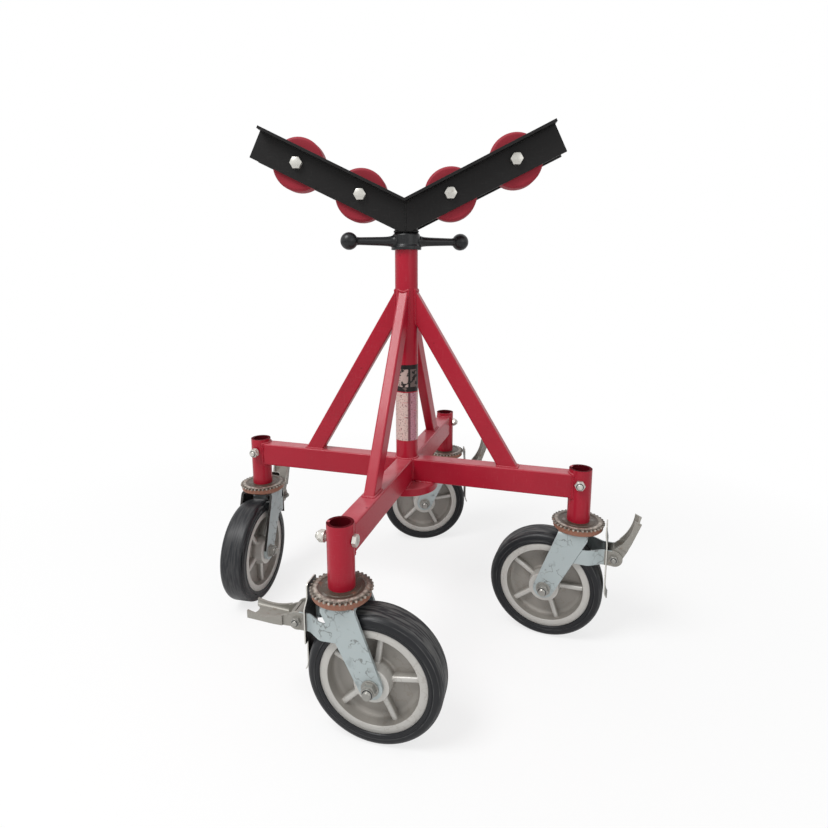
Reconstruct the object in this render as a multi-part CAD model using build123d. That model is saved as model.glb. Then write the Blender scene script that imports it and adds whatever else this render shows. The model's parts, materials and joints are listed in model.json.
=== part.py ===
"""A wheeled pipe jack stand with a V head of four rollers.

Millimetres, Z up, with the floor at zero. Everything is drawn with the post on the Z axis, the right leg
along +X and the front leg along -Y, and is then moved so that the middle of the whole outline stands on the
origin. Each caster is drawn round its own swivel axis, with its wheel trailing along +X, and is then turned
and set under its socket.
"""

import os
from math import cos, radians, sin, tan

from build123d import *

# How far the outline's middle lies from the post towards the right leg, whose pedal stands out
outline_middle = 29.9

# Post and hub plate
post_diameter = 42.2
post_wall = 3.6
post_top = 717.0
hub_plate_diameter = 120.0
hub_plate_thickness = 16.0
hub_plate_edge = 3.0

# Legs
leg_reach = 323.85
leg_underside = 275.0
leg_height = 44.45
leg_width = 31.75
leg_wall = 3.0
leg_corner = 3.0

# Braces
brace_depth = 31.75
brace_width = 19.0
brace_wall = 2.5
brace_corner = 3.0
brace_angle = 58.9
brace_top = 637.5

# Sockets and their cross bolts
socket_diameter = 40.0
socket_bore = 30.6
socket_bottom = 231.0
socket_length = 97.0
socket_bolt_drop = 25.0
socket_bolt_diameter = 10.0
socket_bolt_flats = 16.0
socket_bolt_head = 6.4
socket_nut = 8.4
socket_washer = 3.0
socket_washer_diameter = 18.0
socket_bolt_standoff = 3.5
socket_bolt_tail = 3.0

# Running and seating clearances
running_fit = 0.05
seat_gap = 0.3
hole_clearance = 0.25
overrun = 5.0

# Wheel and tyre
wheel_diameter = 203.2
tyre_half_width = 25.4
tread_half_width = 14.0
tyre_shoulder_depth = 10.0
tyre_flank_inset = 2.0
rim_diameter = 162.0
rim_half_width = 23.4
rim_ring_width = 12.0
rim_draft = 3.0
rim_edge = 1.0
web_half_thickness = 5.0
web_fillet = 7.0
boss_diameter = 58.0
boss_draft = 2.5
boss_edge = 1.5
rib_count = 5
rib_width = 9.0
rib_rounding = 3.5
rib_root = 1.5
rib_recess = 7.4
axle_diameter = 12.7
axle_flats = 19.0
axle_head = 8.0
axle_nut = 11.0
axle_washer = 2.0
axle_washer_diameter = 26.0
axle_tail = 5.0

# Caster stem, swivel ring and fork
caster_lead = 52.5
stem_bore = 20.0
stem_length = 81.0
kingpin_diameter = 16.0
kingpin_nut_diameter = 26.0
kingpin_nut_thickness = 6.0
ring_diameter = 93.0
ring_thickness = 4.0
ring_land_diameter = 58.0
ring_groove_width = 6.0
ring_groove_depth = 1.2
tooth_count = 36
tooth_depth = 4.5
tooth_tip_share = 0.3
tooth_root_share = 0.62
race_diameter = 87.0
race_edge = 2.5
race_height = 7.2
crown_thickness = 6.0
fork_inner_half_width = 30.0
fork_plate = 5.0
fork_bend = 9.0
fork_shoulder_front = 20.0
fork_shoulder_back = 29.0
fork_cheek = 12.5
fork_end_diameter = 36.0

# Brake bracket, pedal and blade
pivot_reach = 64.5
pivot_height = 175.0
pivot_diameter = 8.0
pivot_flats = 13.0
pivot_head = 5.5
pivot_nut = 6.5
pivot_tail = 3.0
bracket_plate = 3.0
bracket_height = 28.0
bracket_half_gap = 15.5
bracket_root_reach = 8.0
bracket_bend_back = 22.0
bracket_bend_front = 44.0
bracket_bend_radius = 14.0
ear_diameter = 29.0
pedal_length = 81.0
pedal_half_width = 18.0
pedal_wall = 3.5
pedal_floor = 3.5
pedal_trough_rounding = 5.0
pedal_tip_rise = 3.0
pedal_tip_drop = 9.0
pedal_waist_share = 0.55
pedal_waist_drop = 1.5
pedal_neck = 24.0
pedal_neck_rise = 3.0
pedal_neck_drop = 13.0
pedal_scoop = 9.0
pedal_travel_angle = 66.0
pedal_top_angle = 60.0
blade_thickness = 2.0
blade_stroke = 1.6
blade_bottom = 95.5
blade_foot_top = 142.0
blade_foot_half_width = 14.0
blade_half_width = 22.0
blade_crown_start = 196.0
blade_crown_bottom = 208.0
blade_crown_half_width = 16.0
blade_top = 234.0
blade_corner = 5.0
blade_flare = 4.0
blade_flare_length = 12.0
blade_straight_top = 195.0
blade_lean = 2.4
blade_lean_height = 218.0
blade_slot_clearance = 0.5
arc_middle_angle = 45.0

# Hand nut and lifting screw
screw_diameter = 31.75
screw_travel = 304.8
screw_guide_length = 94.2
screw_edge = 2.0
spigot_diameter = 24.0
spigot_height = 38.0
nut_skirt_diameter = 55.0
nut_skirt_drop = 4.0
nut_body_diameter = 50.0
nut_height = 21.5
nut_edge = 3.0
handle_arm_height = 10.6
handle_root_diameter = 22.0
handle_arm_diameter = 16.0
handle_end_diameter = 13.5
handle_root_length = 12.0
handle_reach = 106.5
handle_ball_diameter = 31.0
handle_yaw_angle = 35.0

# V head and rollers
head_yaw_angle = 13.0
head_lift = 6.2
arm_angle = 26.0
arm_point_trim = 5.1
arm_length = 281.5
arm_depth = 54.0
arm_plate = 4.8
arm_flange = 25.3
arm_half_width = 26.0
arm_bend = 5.0
roller_first = 75.8
roller_spacing = 124.6
roller_diameter = 94.0
roller_half_width = 19.0
roller_edge = 4.0
roller_hub_diameter = 34.0
roller_recess = 5.0
roller_flange_width = 25.0
roller_bolt_diameter = 12.7
roller_bolt_flats = 19.0
roller_bolt_head = 8.0
roller_nut = 11.0
roller_bolt_tail = 4.0

# How each caster is turned on its swivel and each wheel on its axle, as in the photograph
front_caster_angle = 2.1
right_caster_angle = 175.0
back_caster_angle = 199.0
left_caster_angle = 275.0
front_wheel_angle = 9.0
right_wheel_angle = 34.0
back_wheel_angle = 27.0
left_wheel_angle = 54.0

# Where each leg points, how its caster and wheel are turned, whether its brake is on, which side its bolts
# go in from, and whether its socket's nut is tight
quarter_angle = 90.0
leg_angles = {"front": -quarter_angle, "right": 0, "back": quarter_angle, "left": 2 * quarter_angle}
caster_angles = {
    "front": front_caster_angle,
    "right": right_caster_angle,
    "back": back_caster_angle,
    "left": left_caster_angle,
}
rib_angles = {
    "front": front_wheel_angle,
    "right": right_wheel_angle,
    "back": back_wheel_angle,
    "left": left_wheel_angle,
}
brakes_on = {"front": True, "right": False, "back": False, "left": False}
caster_bolts_turned = {"front": False, "right": True, "back": True, "left": True}
socket_bolts_turned = {"front": False, "right": False, "back": False, "left": True}
socket_bolts_tight = {"front": False, "right": True, "back": True, "left": False}

# Sizes that follow from those above
post_radius = post_diameter / 2
leg_top = leg_underside + leg_height
socket_radius = socket_diameter / 2
socket_top = socket_bottom + socket_length
socket_bolt_height = socket_top - socket_bolt_drop
wheel_radius = wheel_diameter / 2
stem_radius = socket_bore / 2 - running_fit
ring_radius = ring_diameter / 2
ring_bottom = socket_bottom - ring_thickness
race_top = ring_bottom - seat_gap
plate_top = race_top - race_height
crown_bottom = plate_top - crown_thickness
fork_outer_half_width = fork_inner_half_width + fork_plate
boss_half_length = fork_inner_half_width - seat_gap
tyre_front = wheel_radius - caster_lead
blade_pressed = tyre_front + seat_gap
cam_half_width = bracket_half_gap - seat_gap
cam_radius = pivot_reach - blade_pressed - blade_stroke / 2 - blade_thickness - seat_gap
cam_offset = blade_stroke / 2 / sin(radians(pedal_travel_angle / 2))
screw_bottom = post_top - screw_travel - screw_guide_length
nut_seat = post_top + seat_gap
nut_top = nut_seat + nut_height
head_bottom = nut_top + head_lift
spigot_top = head_bottom + spigot_height
notch_height = head_bottom + arm_depth / cos(radians(arm_angle)) - arm_point_trim
arm_gap = arm_half_width - arm_plate


def ring_of(outer, inner, height):
    """An upright tube that stands on the XY plane."""
    flat = Circle(outer) - Circle(inner)
    return extrude(flat, height)


def upright(radius, bottom, top):
    """A solid upright cylinder between two heights."""
    return Pos(0, 0, bottom) * extrude(Circle(radius), top - bottom)


def across(radius, start, end):
    """A solid cylinder along Y between two places."""
    return Pos(0, start, 0) * Rot(-90, 0, 0) * extrude(Circle(radius), end - start)


def taper(start_radius, end_radius, length):
    """A solid cone without its tip, along +X from the origin."""
    cone = Cone(start_radius, end_radius, length, align=(Align.CENTER, Align.CENTER, Align.MIN))
    return Rot(0, 90, 0) * cone


def block(low_x, high_x, low_y, high_y, low_z, high_z):
    """A box between its six faces."""
    size = Box(high_x - low_x, high_y - low_y, high_z - low_z)
    return Pos((low_x + high_x) / 2, (low_y + high_y) / 2, (low_z + high_z) / 2) * size


def hexagon(flats, thickness):
    """A hexagonal prism along +Y from the XZ plane."""
    flat = RegularPolygon(flats / 2, 6, major_radius=False)
    return Rot(-90, 0, 0) * extrude(flat, thickness)


def washer(outer, bore, thickness):
    """A flat washer along +Y from the XZ plane."""
    return Rot(-90, 0, 0) * ring_of(outer / 2, bore / 2, thickness)


def bolt(diameter, flats, head, tail, nut, low_y, high_y):
    """A hexagon bolt along Y: its head is on the face at high_y and its nut on the face at low_y."""
    shank = across(diameter / 2, low_y - nut - tail, high_y)
    return shank + Pos(0, high_y, 0) * hexagon(flats, head)


def nut_on(diameter, flats, thickness, face_y):
    """A hexagon nut on the face at face_y, on the side of -Y."""
    blank = Pos(0, face_y - thickness, 0) * hexagon(flats, thickness)
    return blank - across(diameter / 2, face_y - thickness - overrun, face_y + overrun)


def post():
    """The round post, which stands on the hub plate."""
    tube = ring_of(post_radius, post_radius - post_wall, post_top - leg_underside)
    return Pos(0, 0, leg_underside) * tube


def hub_plate():
    """The round plate under the cross, with softened edges."""
    plate = upright(hub_plate_diameter / 2, leg_underside - hub_plate_thickness, leg_underside)
    return fillet(plate.edges().filter_by(GeomType.CIRCLE), hub_plate_edge)


def leg():
    """A box-section leg along +X, coped to the post and to its socket."""
    start = leg_width / 2
    middle = leg_underside + leg_height / 2
    outside = RectangleRounded(leg_width, leg_height, leg_corner)
    inside = Rectangle(leg_width - 2 * leg_wall, leg_height - 2 * leg_wall)
    place = Pos(start, 0, middle) * Rot(0, 90, 0) * Rot(0, 0, 90)
    tube = place * extrude(outside - inside, leg_reach - start)
    tube -= upright(post_radius, leg_underside - overrun, leg_top + overrun)
    return tube - Pos(leg_reach, 0, 0) * upright(socket_radius, socket_bottom, socket_top)


def brace():
    """A box-section brace along +X: a slanting tube, coped to the post and cut off level on the leg."""
    slope = radians(brace_angle)
    start = brace_top + post_radius * tan(slope) - brace_depth / 2 / cos(slope)
    length = (start - leg_top) / sin(slope) + brace_depth
    outside = RectangleRounded(brace_depth, brace_width, brace_corner)
    inside = Rectangle(brace_depth - 2 * brace_wall, brace_width - 2 * brace_wall)
    tube = Pos(0, 0, start) * Rot(0, 90 + brace_angle, 0) * extrude(outside - inside, length)
    tube &= block(0, leg_reach, -brace_width, brace_width, leg_top, post_top)
    return tube - upright(post_radius, leg_top, post_top)


def socket():
    """A socket tube at the end of the leg along +X, drilled for its cross bolt."""
    tube = Pos(leg_reach, 0, socket_bottom) * ring_of(socket_radius, socket_bore / 2, socket_length)
    hole = across(socket_bolt_diameter / 2 + hole_clearance, -socket_diameter, socket_diameter)
    return tube - Pos(leg_reach, 0, socket_bolt_height) * hole


def socket_bolt(turned_round, tight):
    """The cross bolt of the socket along +X, with its nut tight on the tube or standing off with a washer."""
    washer_face = -socket_radius - socket_bolt_standoff
    face = -socket_radius if tight else washer_face - socket_washer
    pin = bolt(
        socket_bolt_diameter,
        socket_bolt_flats,
        socket_bolt_head,
        socket_bolt_tail,
        socket_nut,
        face,
        socket_radius,
    )
    pieces = [pin, nut_on(socket_bolt_diameter, socket_bolt_flats, socket_nut, face)]
    if not tight:
        pieces.append(Pos(0, face, 0) * washer(socket_washer_diameter, socket_bolt_diameter, socket_washer))
    place = Pos(leg_reach, 0, socket_bolt_height) * Rot(0, 0, 180 if turned_round else 0)
    return [place * piece for piece in pieces]


def caster_stem():
    """The hollow stem in its socket, with the kingpin below it and the nut that holds the fork."""
    nut_top_height = crown_bottom - seat_gap
    nut_bottom = nut_top_height - kingpin_nut_thickness
    stem = upright(stem_radius, ring_bottom, socket_bottom + stem_length)
    stem -= upright(stem_bore / 2, socket_bottom, socket_top + overrun)
    stem += upright(kingpin_diameter / 2, nut_bottom, ring_bottom)
    stem += upright(kingpin_nut_diameter / 2, nut_bottom, nut_top_height)
    hole = across(socket_bolt_diameter / 2 + hole_clearance, -socket_diameter, socket_diameter)
    return stem - Pos(0, 0, socket_bolt_height) * hole


def toothed_disc(radius, depth, count, thickness):
    """A disc with straight-flanked teeth round its rim."""
    step = 360 / count
    corners = []
    for tooth in range(count):
        for share, reach in (
            (-tooth_root_share, radius - depth),
            (-tooth_tip_share, radius),
            (tooth_tip_share, radius),
            (tooth_root_share, radius - depth),
        ):
            angle = radians(step * (tooth + share / 2))
            corners.append((reach * cos(angle), reach * sin(angle)))
    return extrude(make_face(Polyline(*corners, close=True)), thickness)


def swivel_ring():
    """The toothed ring under a socket, with a turned groove round its land."""
    land = ring_land_diameter / 2
    ring = Pos(0, 0, ring_bottom) * toothed_disc(ring_radius, tooth_depth, tooth_count, ring_thickness)
    groove = ring_of(land + ring_groove_width, land, ring_groove_depth)
    ring -= Pos(0, 0, socket_bottom - ring_groove_depth) * groove
    return ring - upright(stem_radius, ring_bottom, socket_bottom)


def fork_side():
    """The fork's outline from the side: an upright cheek in front, then straight edges to the axle end."""
    top_front = (-fork_shoulder_front, plate_top)
    cheek = Line(top_front, (-fork_shoulder_front, plate_top - fork_cheek))
    shoulder = Line(top_front, (fork_shoulder_back, plate_top))
    end = Pos(caster_lead, wheel_radius) * Circle(fork_end_diameter / 2).edge()
    return make_hull([cheek, shoulder, end])


def fork_slab(grow):
    """The fork's side outline, grown by so much, as a slab across the whole caster."""
    reach = fork_outer_half_width + overrun
    outline = offset(fork_side(), grow) if grow else fork_side()
    return Pos(0, reach, 0) * Rot(90, 0, 0) * extrude(outline, 2 * reach)


def fork():
    """The pressed fork: a round lower race over a bridge that bends down into two tapered legs."""
    drop = plate_top - wheel_radius + fork_end_diameter
    outer = Rectangle(2 * fork_outer_half_width, drop)
    inner = Rectangle(2 * fork_inner_half_width, drop)
    bend = Pos(0, -drop / 2) * outer
    bend = fillet(bend.vertices().group_by(Axis.Y)[-1], fork_bend)
    hollow = Pos(0, -drop / 2 - crown_thickness) * inner
    hollow = fillet(hollow.vertices().group_by(Axis.Y)[-1], fork_bend - fork_plate)
    span = wheel_diameter
    channel = Pos(-span / 2, 0, plate_top) * Rot(0, 90, 0) * Rot(0, 0, 90) * extrude(bend - hollow, span)
    body = channel & fork_slab(0)
    race = upright(race_diameter / 2, crown_bottom + crown_thickness / 2, race_top)
    race = chamfer(race.edges().filter_by(GeomType.CIRCLE).group_by(Axis.Z)[0], race_edge)
    body += race
    body -= upright(kingpin_diameter / 2 + running_fit, crown_bottom - overrun, race_top + overrun)
    axle_hole = across(axle_diameter / 2 + running_fit, -leg_reach, leg_reach)
    return body - Pos(caster_lead, 0, wheel_radius) * axle_hole


def wheel_profile():
    """Half of the wheel centre's section as a face in the XY plane, with its corners filleted."""
    bore = axle_diameter / 2 + running_fit
    boss = boss_diameter / 2
    rim = rim_diameter / 2
    boss_top = (boss - boss_draft, boss_half_length)
    boss_foot = (boss, web_half_thickness)
    wall_foot = (rim - rim_ring_width - rim_draft, web_half_thickness)
    wall_top = (rim - rim_ring_width, rim_half_width)
    half = [(bore, boss_half_length), boss_top, boss_foot, wall_foot, wall_top, (rim, rim_half_width)]
    face = make_face(Polyline(*half, *[(r, -y) for r, y in reversed(half)], close=True))
    fillets = {boss_top: boss_edge, boss_foot: web_fillet / 2, wall_foot: web_fillet, wall_top: rim_edge}
    for (r, y), radius in fillets.items():
        corners = [face.vertices().sort_by_distance((r, side * y, 0))[0] for side in (1, -1)]
        face = fillet(corners, radius)
    return face


def wheel_centre(rib_angle):
    """The cast wheel centre: a boss, a thin web with round-topped ribs on both sides and a broad rim."""
    rim = rim_diameter / 2
    body = revolve(wheel_profile(), Axis.Y)
    rib_top = rim_half_width - rib_recess
    start = boss_diameter / 2 - boss_draft - rib_root
    end = rim - rim_ring_width - rim_draft + rib_root
    section = RectangleRounded(rib_width, 2 * rib_top, rib_rounding)
    rib = Pos(start, 0, 0) * Rot(0, 90, 0) * extrude(section, end - start)
    for number in range(rib_count):
        body += Rot(0, -rib_angle - 360 / rib_count * number, 0) * rib
    return Pos(caster_lead, 0, wheel_radius) * body


def tyre():
    """The rubber tyre, with flat sides, round shoulders and a flat tread."""
    rim = rim_diameter / 2 + running_fit
    flank = wheel_radius - tyre_shoulder_depth
    middle = tread_half_width + (tyre_half_width - tread_half_width) * cos(radians(arc_middle_angle))
    rise = flank + tyre_shoulder_depth * sin(radians(arc_middle_angle))

    def at(r, y):
        return (caster_lead, y, wheel_radius + r)

    lines = [
        Line(at(rim, -rim_half_width), at(rim + tyre_flank_inset, -tyre_half_width)),
        Line(at(rim + tyre_flank_inset, -tyre_half_width), at(flank, -tyre_half_width)),
        ThreePointArc(at(flank, -tyre_half_width), at(rise, -middle), at(wheel_radius, -tread_half_width)),
        Line(at(wheel_radius, -tread_half_width), at(wheel_radius, tread_half_width)),
        ThreePointArc(at(wheel_radius, tread_half_width), at(rise, middle), at(flank, tyre_half_width)),
        Line(at(flank, tyre_half_width), at(rim + tyre_flank_inset, tyre_half_width)),
        Line(at(rim + tyre_flank_inset, tyre_half_width), at(rim, rim_half_width)),
        Line(at(rim, rim_half_width), at(rim, -rim_half_width)),
    ]
    return revolve(make_face(lines), Axis((caster_lead, 0, wheel_radius), (0, 1, 0)))


def caster_bolts():
    """The axle bolt with its washer and nut, and the brake's pivot bolt with its nut."""
    outer = fork_outer_half_width
    centre = Pos(caster_lead, 0, wheel_radius)
    face = -outer - axle_washer
    pin = bolt(axle_diameter, axle_flats, axle_head, axle_tail, axle_nut, face, outer)
    pieces = [
        centre * pin,
        centre * Pos(0, face, 0) * washer(axle_washer_diameter, axle_diameter, axle_washer),
        centre * nut_on(axle_diameter, axle_flats, axle_nut, face),
    ]
    ear = bracket_half_gap + bracket_plate
    pivot = Pos(-pivot_reach, 0, pivot_height)
    pin = bolt(pivot_diameter, pivot_flats, pivot_head, pivot_tail, pivot_nut, -ear, ear)
    return pieces + [pivot * pin, pivot * nut_on(pivot_diameter, pivot_flats, pivot_nut, -ear)]


def bracket_arm():
    """One bracket arm: a strap welded to the fork leg's front edge, bent in to a round ear for the pedal."""
    outside = fork_inner_half_width + fork_plate / 2
    inside = bracket_half_gap + bracket_plate / 2
    path = FilletPolyline(
        (bracket_root_reach, outside),
        (-bracket_bend_back, outside),
        (-bracket_bend_front, inside),
        (-pivot_reach, inside),
        radius=bracket_bend_radius,
    )
    strap = Pos(0, 0, pivot_height - bracket_height / 2) * extrude(trace(path, bracket_plate), bracket_height)
    strap -= fork_slab(seat_gap)
    ear = across(ear_diameter / 2, bracket_half_gap, bracket_half_gap + bracket_plate)
    hole = across(pivot_diameter / 2 + running_fit, 0, fork_outer_half_width)
    pivot = Pos(-pivot_reach, 0, pivot_height)
    return strap + pivot * ear - pivot * hole


def bracket():
    """The two arms of the brake bracket."""
    arm = bracket_arm()
    return [arm, mirror(arm, Plane.XZ)]


def pedal_outline():
    """The pedal's arm from the side, round its pivot, with the tip along -X."""
    angle = radians(pedal_top_angle)
    top_start = (-cam_radius * cos(angle), cam_radius * sin(angle))
    neck = (-pedal_neck, pedal_neck_rise)
    waist = (-pedal_length * pedal_waist_share, -pedal_waist_drop)
    tip_top = (-pedal_length, pedal_tip_rise)
    tip_low = (-pedal_length, -pedal_tip_drop)
    low_neck = (-pedal_neck, -pedal_neck_drop)
    low_start = (0, -cam_radius)
    edges = [
        Line(top_start, neck),
        ThreePointArc(neck, waist, tip_top),
        Line(tip_top, tip_low),
        Line(tip_low, low_neck),
        Line(low_neck, low_start),
        Line(low_start, top_start),
    ]
    return make_face(edges)


def pedal_part(face, half_width):
    """A side outline given thickness on both sides of the middle plane."""
    return Pos(0, half_width, 0) * Rot(90, 0, 0) * extrude(face, 2 * half_width)


def pedal_trough(start, end, half_width):
    """What is cut from the pedal's arm between two places along it, down to its floor and rounded there."""
    rise = (pedal_neck_drop - pedal_tip_drop) / (pedal_length - pedal_neck)
    floors = [pedal_floor - pedal_tip_drop - rise * (x + pedal_length) for x in (start, end)]
    high = cam_radius + overrun
    corners = [(start, floors[0]), (end, floors[1]), (end, high), (start, high)]
    cut = pedal_part(make_face(Polyline(*corners, close=True)), half_width)
    low_face = cut.faces().sort_by(Axis.Z)[0]
    return fillet(low_face.edges().sort_by(SortBy.LENGTH)[-2:], pedal_trough_rounding)


def pedal(brake_on):
    """The cast pedal: a round cam on the pivot, and a trough of an arm, open above and at its scooped tip."""
    outline = pedal_outline()
    wide = block(-pedal_length, -pedal_neck, -pedal_half_width, pedal_half_width, -cam_radius, cam_radius)
    arm = pedal_part(outline, cam_half_width) + (pedal_part(outline, pedal_half_width) & wide)
    lean = radians(pedal_travel_angle / 2 - 90)
    cam = pedal_part(Pos(cam_offset * cos(lean), cam_offset * sin(lean)) * Circle(cam_radius), cam_half_width)
    inside = pedal_half_width - pedal_wall
    arm -= pedal_trough(-pedal_length - overrun, -pedal_neck - pedal_wall, inside)
    arm -= pedal_trough(-pedal_neck - 2 * pedal_wall, -cam_radius, cam_half_width - pedal_wall)
    scoop = upright(inside, -cam_radius, cam_radius)
    arm -= Pos(pedal_scoop - pedal_length - inside, 0, 0) * scoop
    body = arm + cam - across(pivot_diameter / 2 + running_fit, -wheel_radius, wheel_radius)
    turn = 0 if brake_on else pedal_travel_angle
    return Pos(-pivot_reach, 0, pivot_height) * Rot(0, turn, 0) * body


def blade_wave(x):
    """The blade's side line from its top down: upright, out to its straight middle, then flared."""
    knee = blade_bottom + blade_flare_length

    def at(shift, height):
        return (x + shift, -blade_half_width, height)

    return [
        Line(at(blade_lean, blade_top), at(blade_lean, blade_lean_height)),
        Spline(
            at(blade_lean, blade_lean_height),
            at(0, blade_straight_top),
            tangents=((0, 0, -1), (0, 0, -1)),
        ),
        Line(at(0, blade_straight_top), at(0, knee)),
        ThreePointArc(
            at(0, knee),
            at(-blade_flare / 4, knee - blade_flare_length / 2),
            at(-blade_flare, blade_bottom),
        ),
    ]


def blade(brake_on):
    """The brake blade between the tyre and the cam: slotted for the bracket's arms, narrow at both ends."""
    inner = -blade_pressed if brake_on else -blade_pressed - blade_stroke
    near = blade_wave(inner)
    far = blade_wave(inner - blade_thickness)
    ends = [Line(near[0] @ 0, far[0] @ 0), Line(near[-1] @ 1, far[-1] @ 1)]
    strip = extrude(make_face(near + far + ends), 2 * blade_half_width, dir=(0, 1, 0))
    side = [
        (blade_foot_half_width, blade_bottom),
        (blade_foot_half_width, blade_foot_top),
        (blade_half_width, blade_foot_top),
        (blade_half_width, blade_crown_start),
        (blade_crown_half_width, blade_crown_bottom),
        (blade_crown_half_width, blade_top),
    ]
    front = make_face(Polyline(*side, *[(-y, z) for y, z in reversed(side)], close=True))
    front = fillet(front.vertices().group_by(Axis.Y)[-1], blade_corner)
    slot = Rectangle(bracket_plate + 2 * blade_slot_clearance, bracket_height + 2 * blade_slot_clearance)
    for side in (1, -1):
        front -= Pos(side * (bracket_half_gap + bracket_plate / 2), pivot_height) * slot
    return strip & (Pos(-pivot_reach, 0, 0) * Rot(0, 90, 0) * Rot(0, 0, 90) * extrude(front, pivot_reach))


def hand_nut():
    """The cast hand nut: a round body whose skirt caps the post, with two tapering arms and their balls."""
    body = upright(nut_body_diameter / 2, nut_seat, nut_top)
    body = chamfer(body.edges().filter_by(GeomType.CIRCLE).group_by(Axis.Z)[-1], nut_edge)
    skirt = upright(nut_skirt_diameter / 2, post_top - nut_skirt_drop, nut_seat + nut_edge)
    skirt = chamfer(skirt.edges().filter_by(GeomType.CIRCLE).group_by(Axis.Z)[-1], nut_edge)
    body += skirt
    root = nut_body_diameter / 2
    reach = handle_reach - root - handle_root_length
    arm = taper(handle_root_diameter / 2, handle_arm_diameter / 2, handle_root_length)
    shaft = taper(handle_arm_diameter / 2, handle_end_diameter / 2, reach)
    inner = Rot(0, 90, 0) * extrude(Circle(handle_root_diameter / 2), root)
    handle = inner + Pos(root, 0, 0) * arm + Pos(root + handle_root_length, 0, 0) * shaft
    handle += Pos(handle_reach, 0, 0) * Sphere(handle_ball_diameter / 2)
    place = Pos(0, 0, nut_seat + handle_arm_height)
    for side in (0, 180):
        body += place * Rot(0, 0, handle_yaw_angle + side) * handle
    body -= upright(screw_diameter / 2 + running_fit, post_top - overrun, nut_top + overrun)
    return body - upright(post_radius + seat_gap, post_top - nut_skirt_drop - overrun, nut_seat)


def screw():
    """The lifting screw, with its shoulder under the head and the spigot that the head turns on."""
    rod = upright(screw_diameter / 2, screw_bottom, head_bottom - seat_gap)
    rod = chamfer(rod.edges().filter_by(GeomType.CIRCLE).group_by(Axis.Z)[0], screw_edge)
    pin = upright(spigot_diameter / 2, head_bottom - seat_gap, spigot_top)
    pin = chamfer(pin.edges().filter_by(GeomType.CIRCLE).group_by(Axis.Z)[-1], screw_edge)
    return rod + pin


def arm_places():
    """How far along the arm's upper edge each of its two roller bolts sits."""
    return [roller_first, roller_first + roller_spacing]


def on_arm(along, down):
    """The place in the head's XZ plane so far along the right arm's upper edge and so far below it."""
    turn = radians(arm_angle)
    return (along * cos(turn) + down * sin(turn), notch_height + along * sin(turn) - down * cos(turn))


def head_arm():
    """The front angle iron of the right arm, with its flange turned outwards along its upper edge."""
    tuck = arm_depth
    plate = block(-tuck, arm_length, -arm_half_width, -arm_gap, -arm_depth, 0)
    flange = block(-tuck, arm_length, -arm_gap - arm_flange, -arm_gap, -arm_plate, 0)
    iron = plate + flange
    corner = iron.edges().filter_by(Axis.X).sort_by_distance((0, -arm_gap, 0))[0]
    iron = fillet(corner, arm_bend - hole_clearance - seat_gap)
    iron = Pos(0, 0, notch_height) * Rot(0, -arm_angle, 0) * iron
    iron -= block(-arm_length, 0, -arm_length, arm_length, 0, 2 * notch_height)
    iron -= block(-arm_length, arm_length, -arm_length, arm_length, 0, head_bottom)
    for along in arm_places():
        x, z = on_arm(along, arm_depth / 2)
        hole = across(roller_bolt_diameter / 2 + hole_clearance, -arm_length, arm_length)
        iron -= Pos(x, 0, z) * hole
    return iron


def head_socket():
    """The socket between the four angles, which sits on the screw's shoulder and turns on its spigot."""
    body = upright(arm_gap, head_bottom, spigot_top + arm_plate + seat_gap)
    return body - upright(spigot_diameter / 2 + running_fit, head_bottom - overrun, spigot_top + seat_gap)


def roller():
    """A roller: a rounded tread, recessed sides and a hub bored for its bolt, along Y at the origin."""
    rim = roller_diameter / 2
    bore = roller_bolt_diameter / 2 + running_fit
    face = roller_half_width
    half = [
        (bore, arm_gap - seat_gap),
        (roller_hub_diameter / 2, arm_gap - seat_gap),
        (roller_hub_diameter / 2, face - roller_recess),
        (rim - roller_flange_width, face - roller_recess),
        (rim - roller_flange_width, face),
        (rim - roller_edge, face),
        (rim, face - roller_edge),
    ]
    points = half + [(r, -y) for r, y in reversed(half)]
    flat = make_face(Polyline(*[(r, y) for r, y in points], close=True))
    return revolve(flat, Axis.Y)


def roller_places():
    """The centres of the four rollers in the head's XZ plane, from left to right."""
    right = [on_arm(along, arm_depth / 2) for along in arm_places()]
    return [(-x, z) for x, z in reversed(right)] + right


def roller_bolts():
    """The four roller bolts and their nuts, with the heads on the front plates."""
    pieces = []
    for x, z in roller_places():
        turned_round = Pos(x, 0, z) * Rot(0, 0, 180)
        outer = arm_half_width
        pin = bolt(
            roller_bolt_diameter,
            roller_bolt_flats,
            roller_bolt_head,
            roller_bolt_tail,
            roller_nut,
            -outer,
            outer,
        )
        nut = nut_on(roller_bolt_diameter, roller_bolt_flats, roller_nut, -outer)
        pieces += [turned_round * pin, turned_round * nut]
    return pieces


def save(name, *pieces):
    """Writes one node, made of one or more solids, about the origin under the outline's middle."""
    moved = [Pos(-outline_middle, 0, 0) * piece for piece in pieces]
    whole = moved[0] if len(moved) == 1 else Compound(children=moved)
    export_step(whole, f"parts/{name}.step")


def save_frame():
    """The welded frame and what is fixed to it."""
    save("post", post())
    save("hub_plate", hub_plate())
    turns = {name: Rot(0, 0, angle) for name, angle in leg_angles.items()}
    for name, turn in turns.items():
        save(f"leg_{name}", turn * leg())
        save(f"brace_{name}", turn * brace())
        save(f"socket_{name}", turn * socket())
    bolts = {name: socket_bolt(socket_bolts_turned[name], socket_bolts_tight[name]) for name in turns}
    save("socket_bolts", *[turns[name] * piece for name, pieces in bolts.items() for piece in pieces])
    under = [turn * Pos(leg_reach, 0, 0) for turn in turns.values()]
    save("caster_stems", *[place * caster_stem() for place in under])
    save("swivel_rings", *[place * swivel_ring() for place in under])


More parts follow.
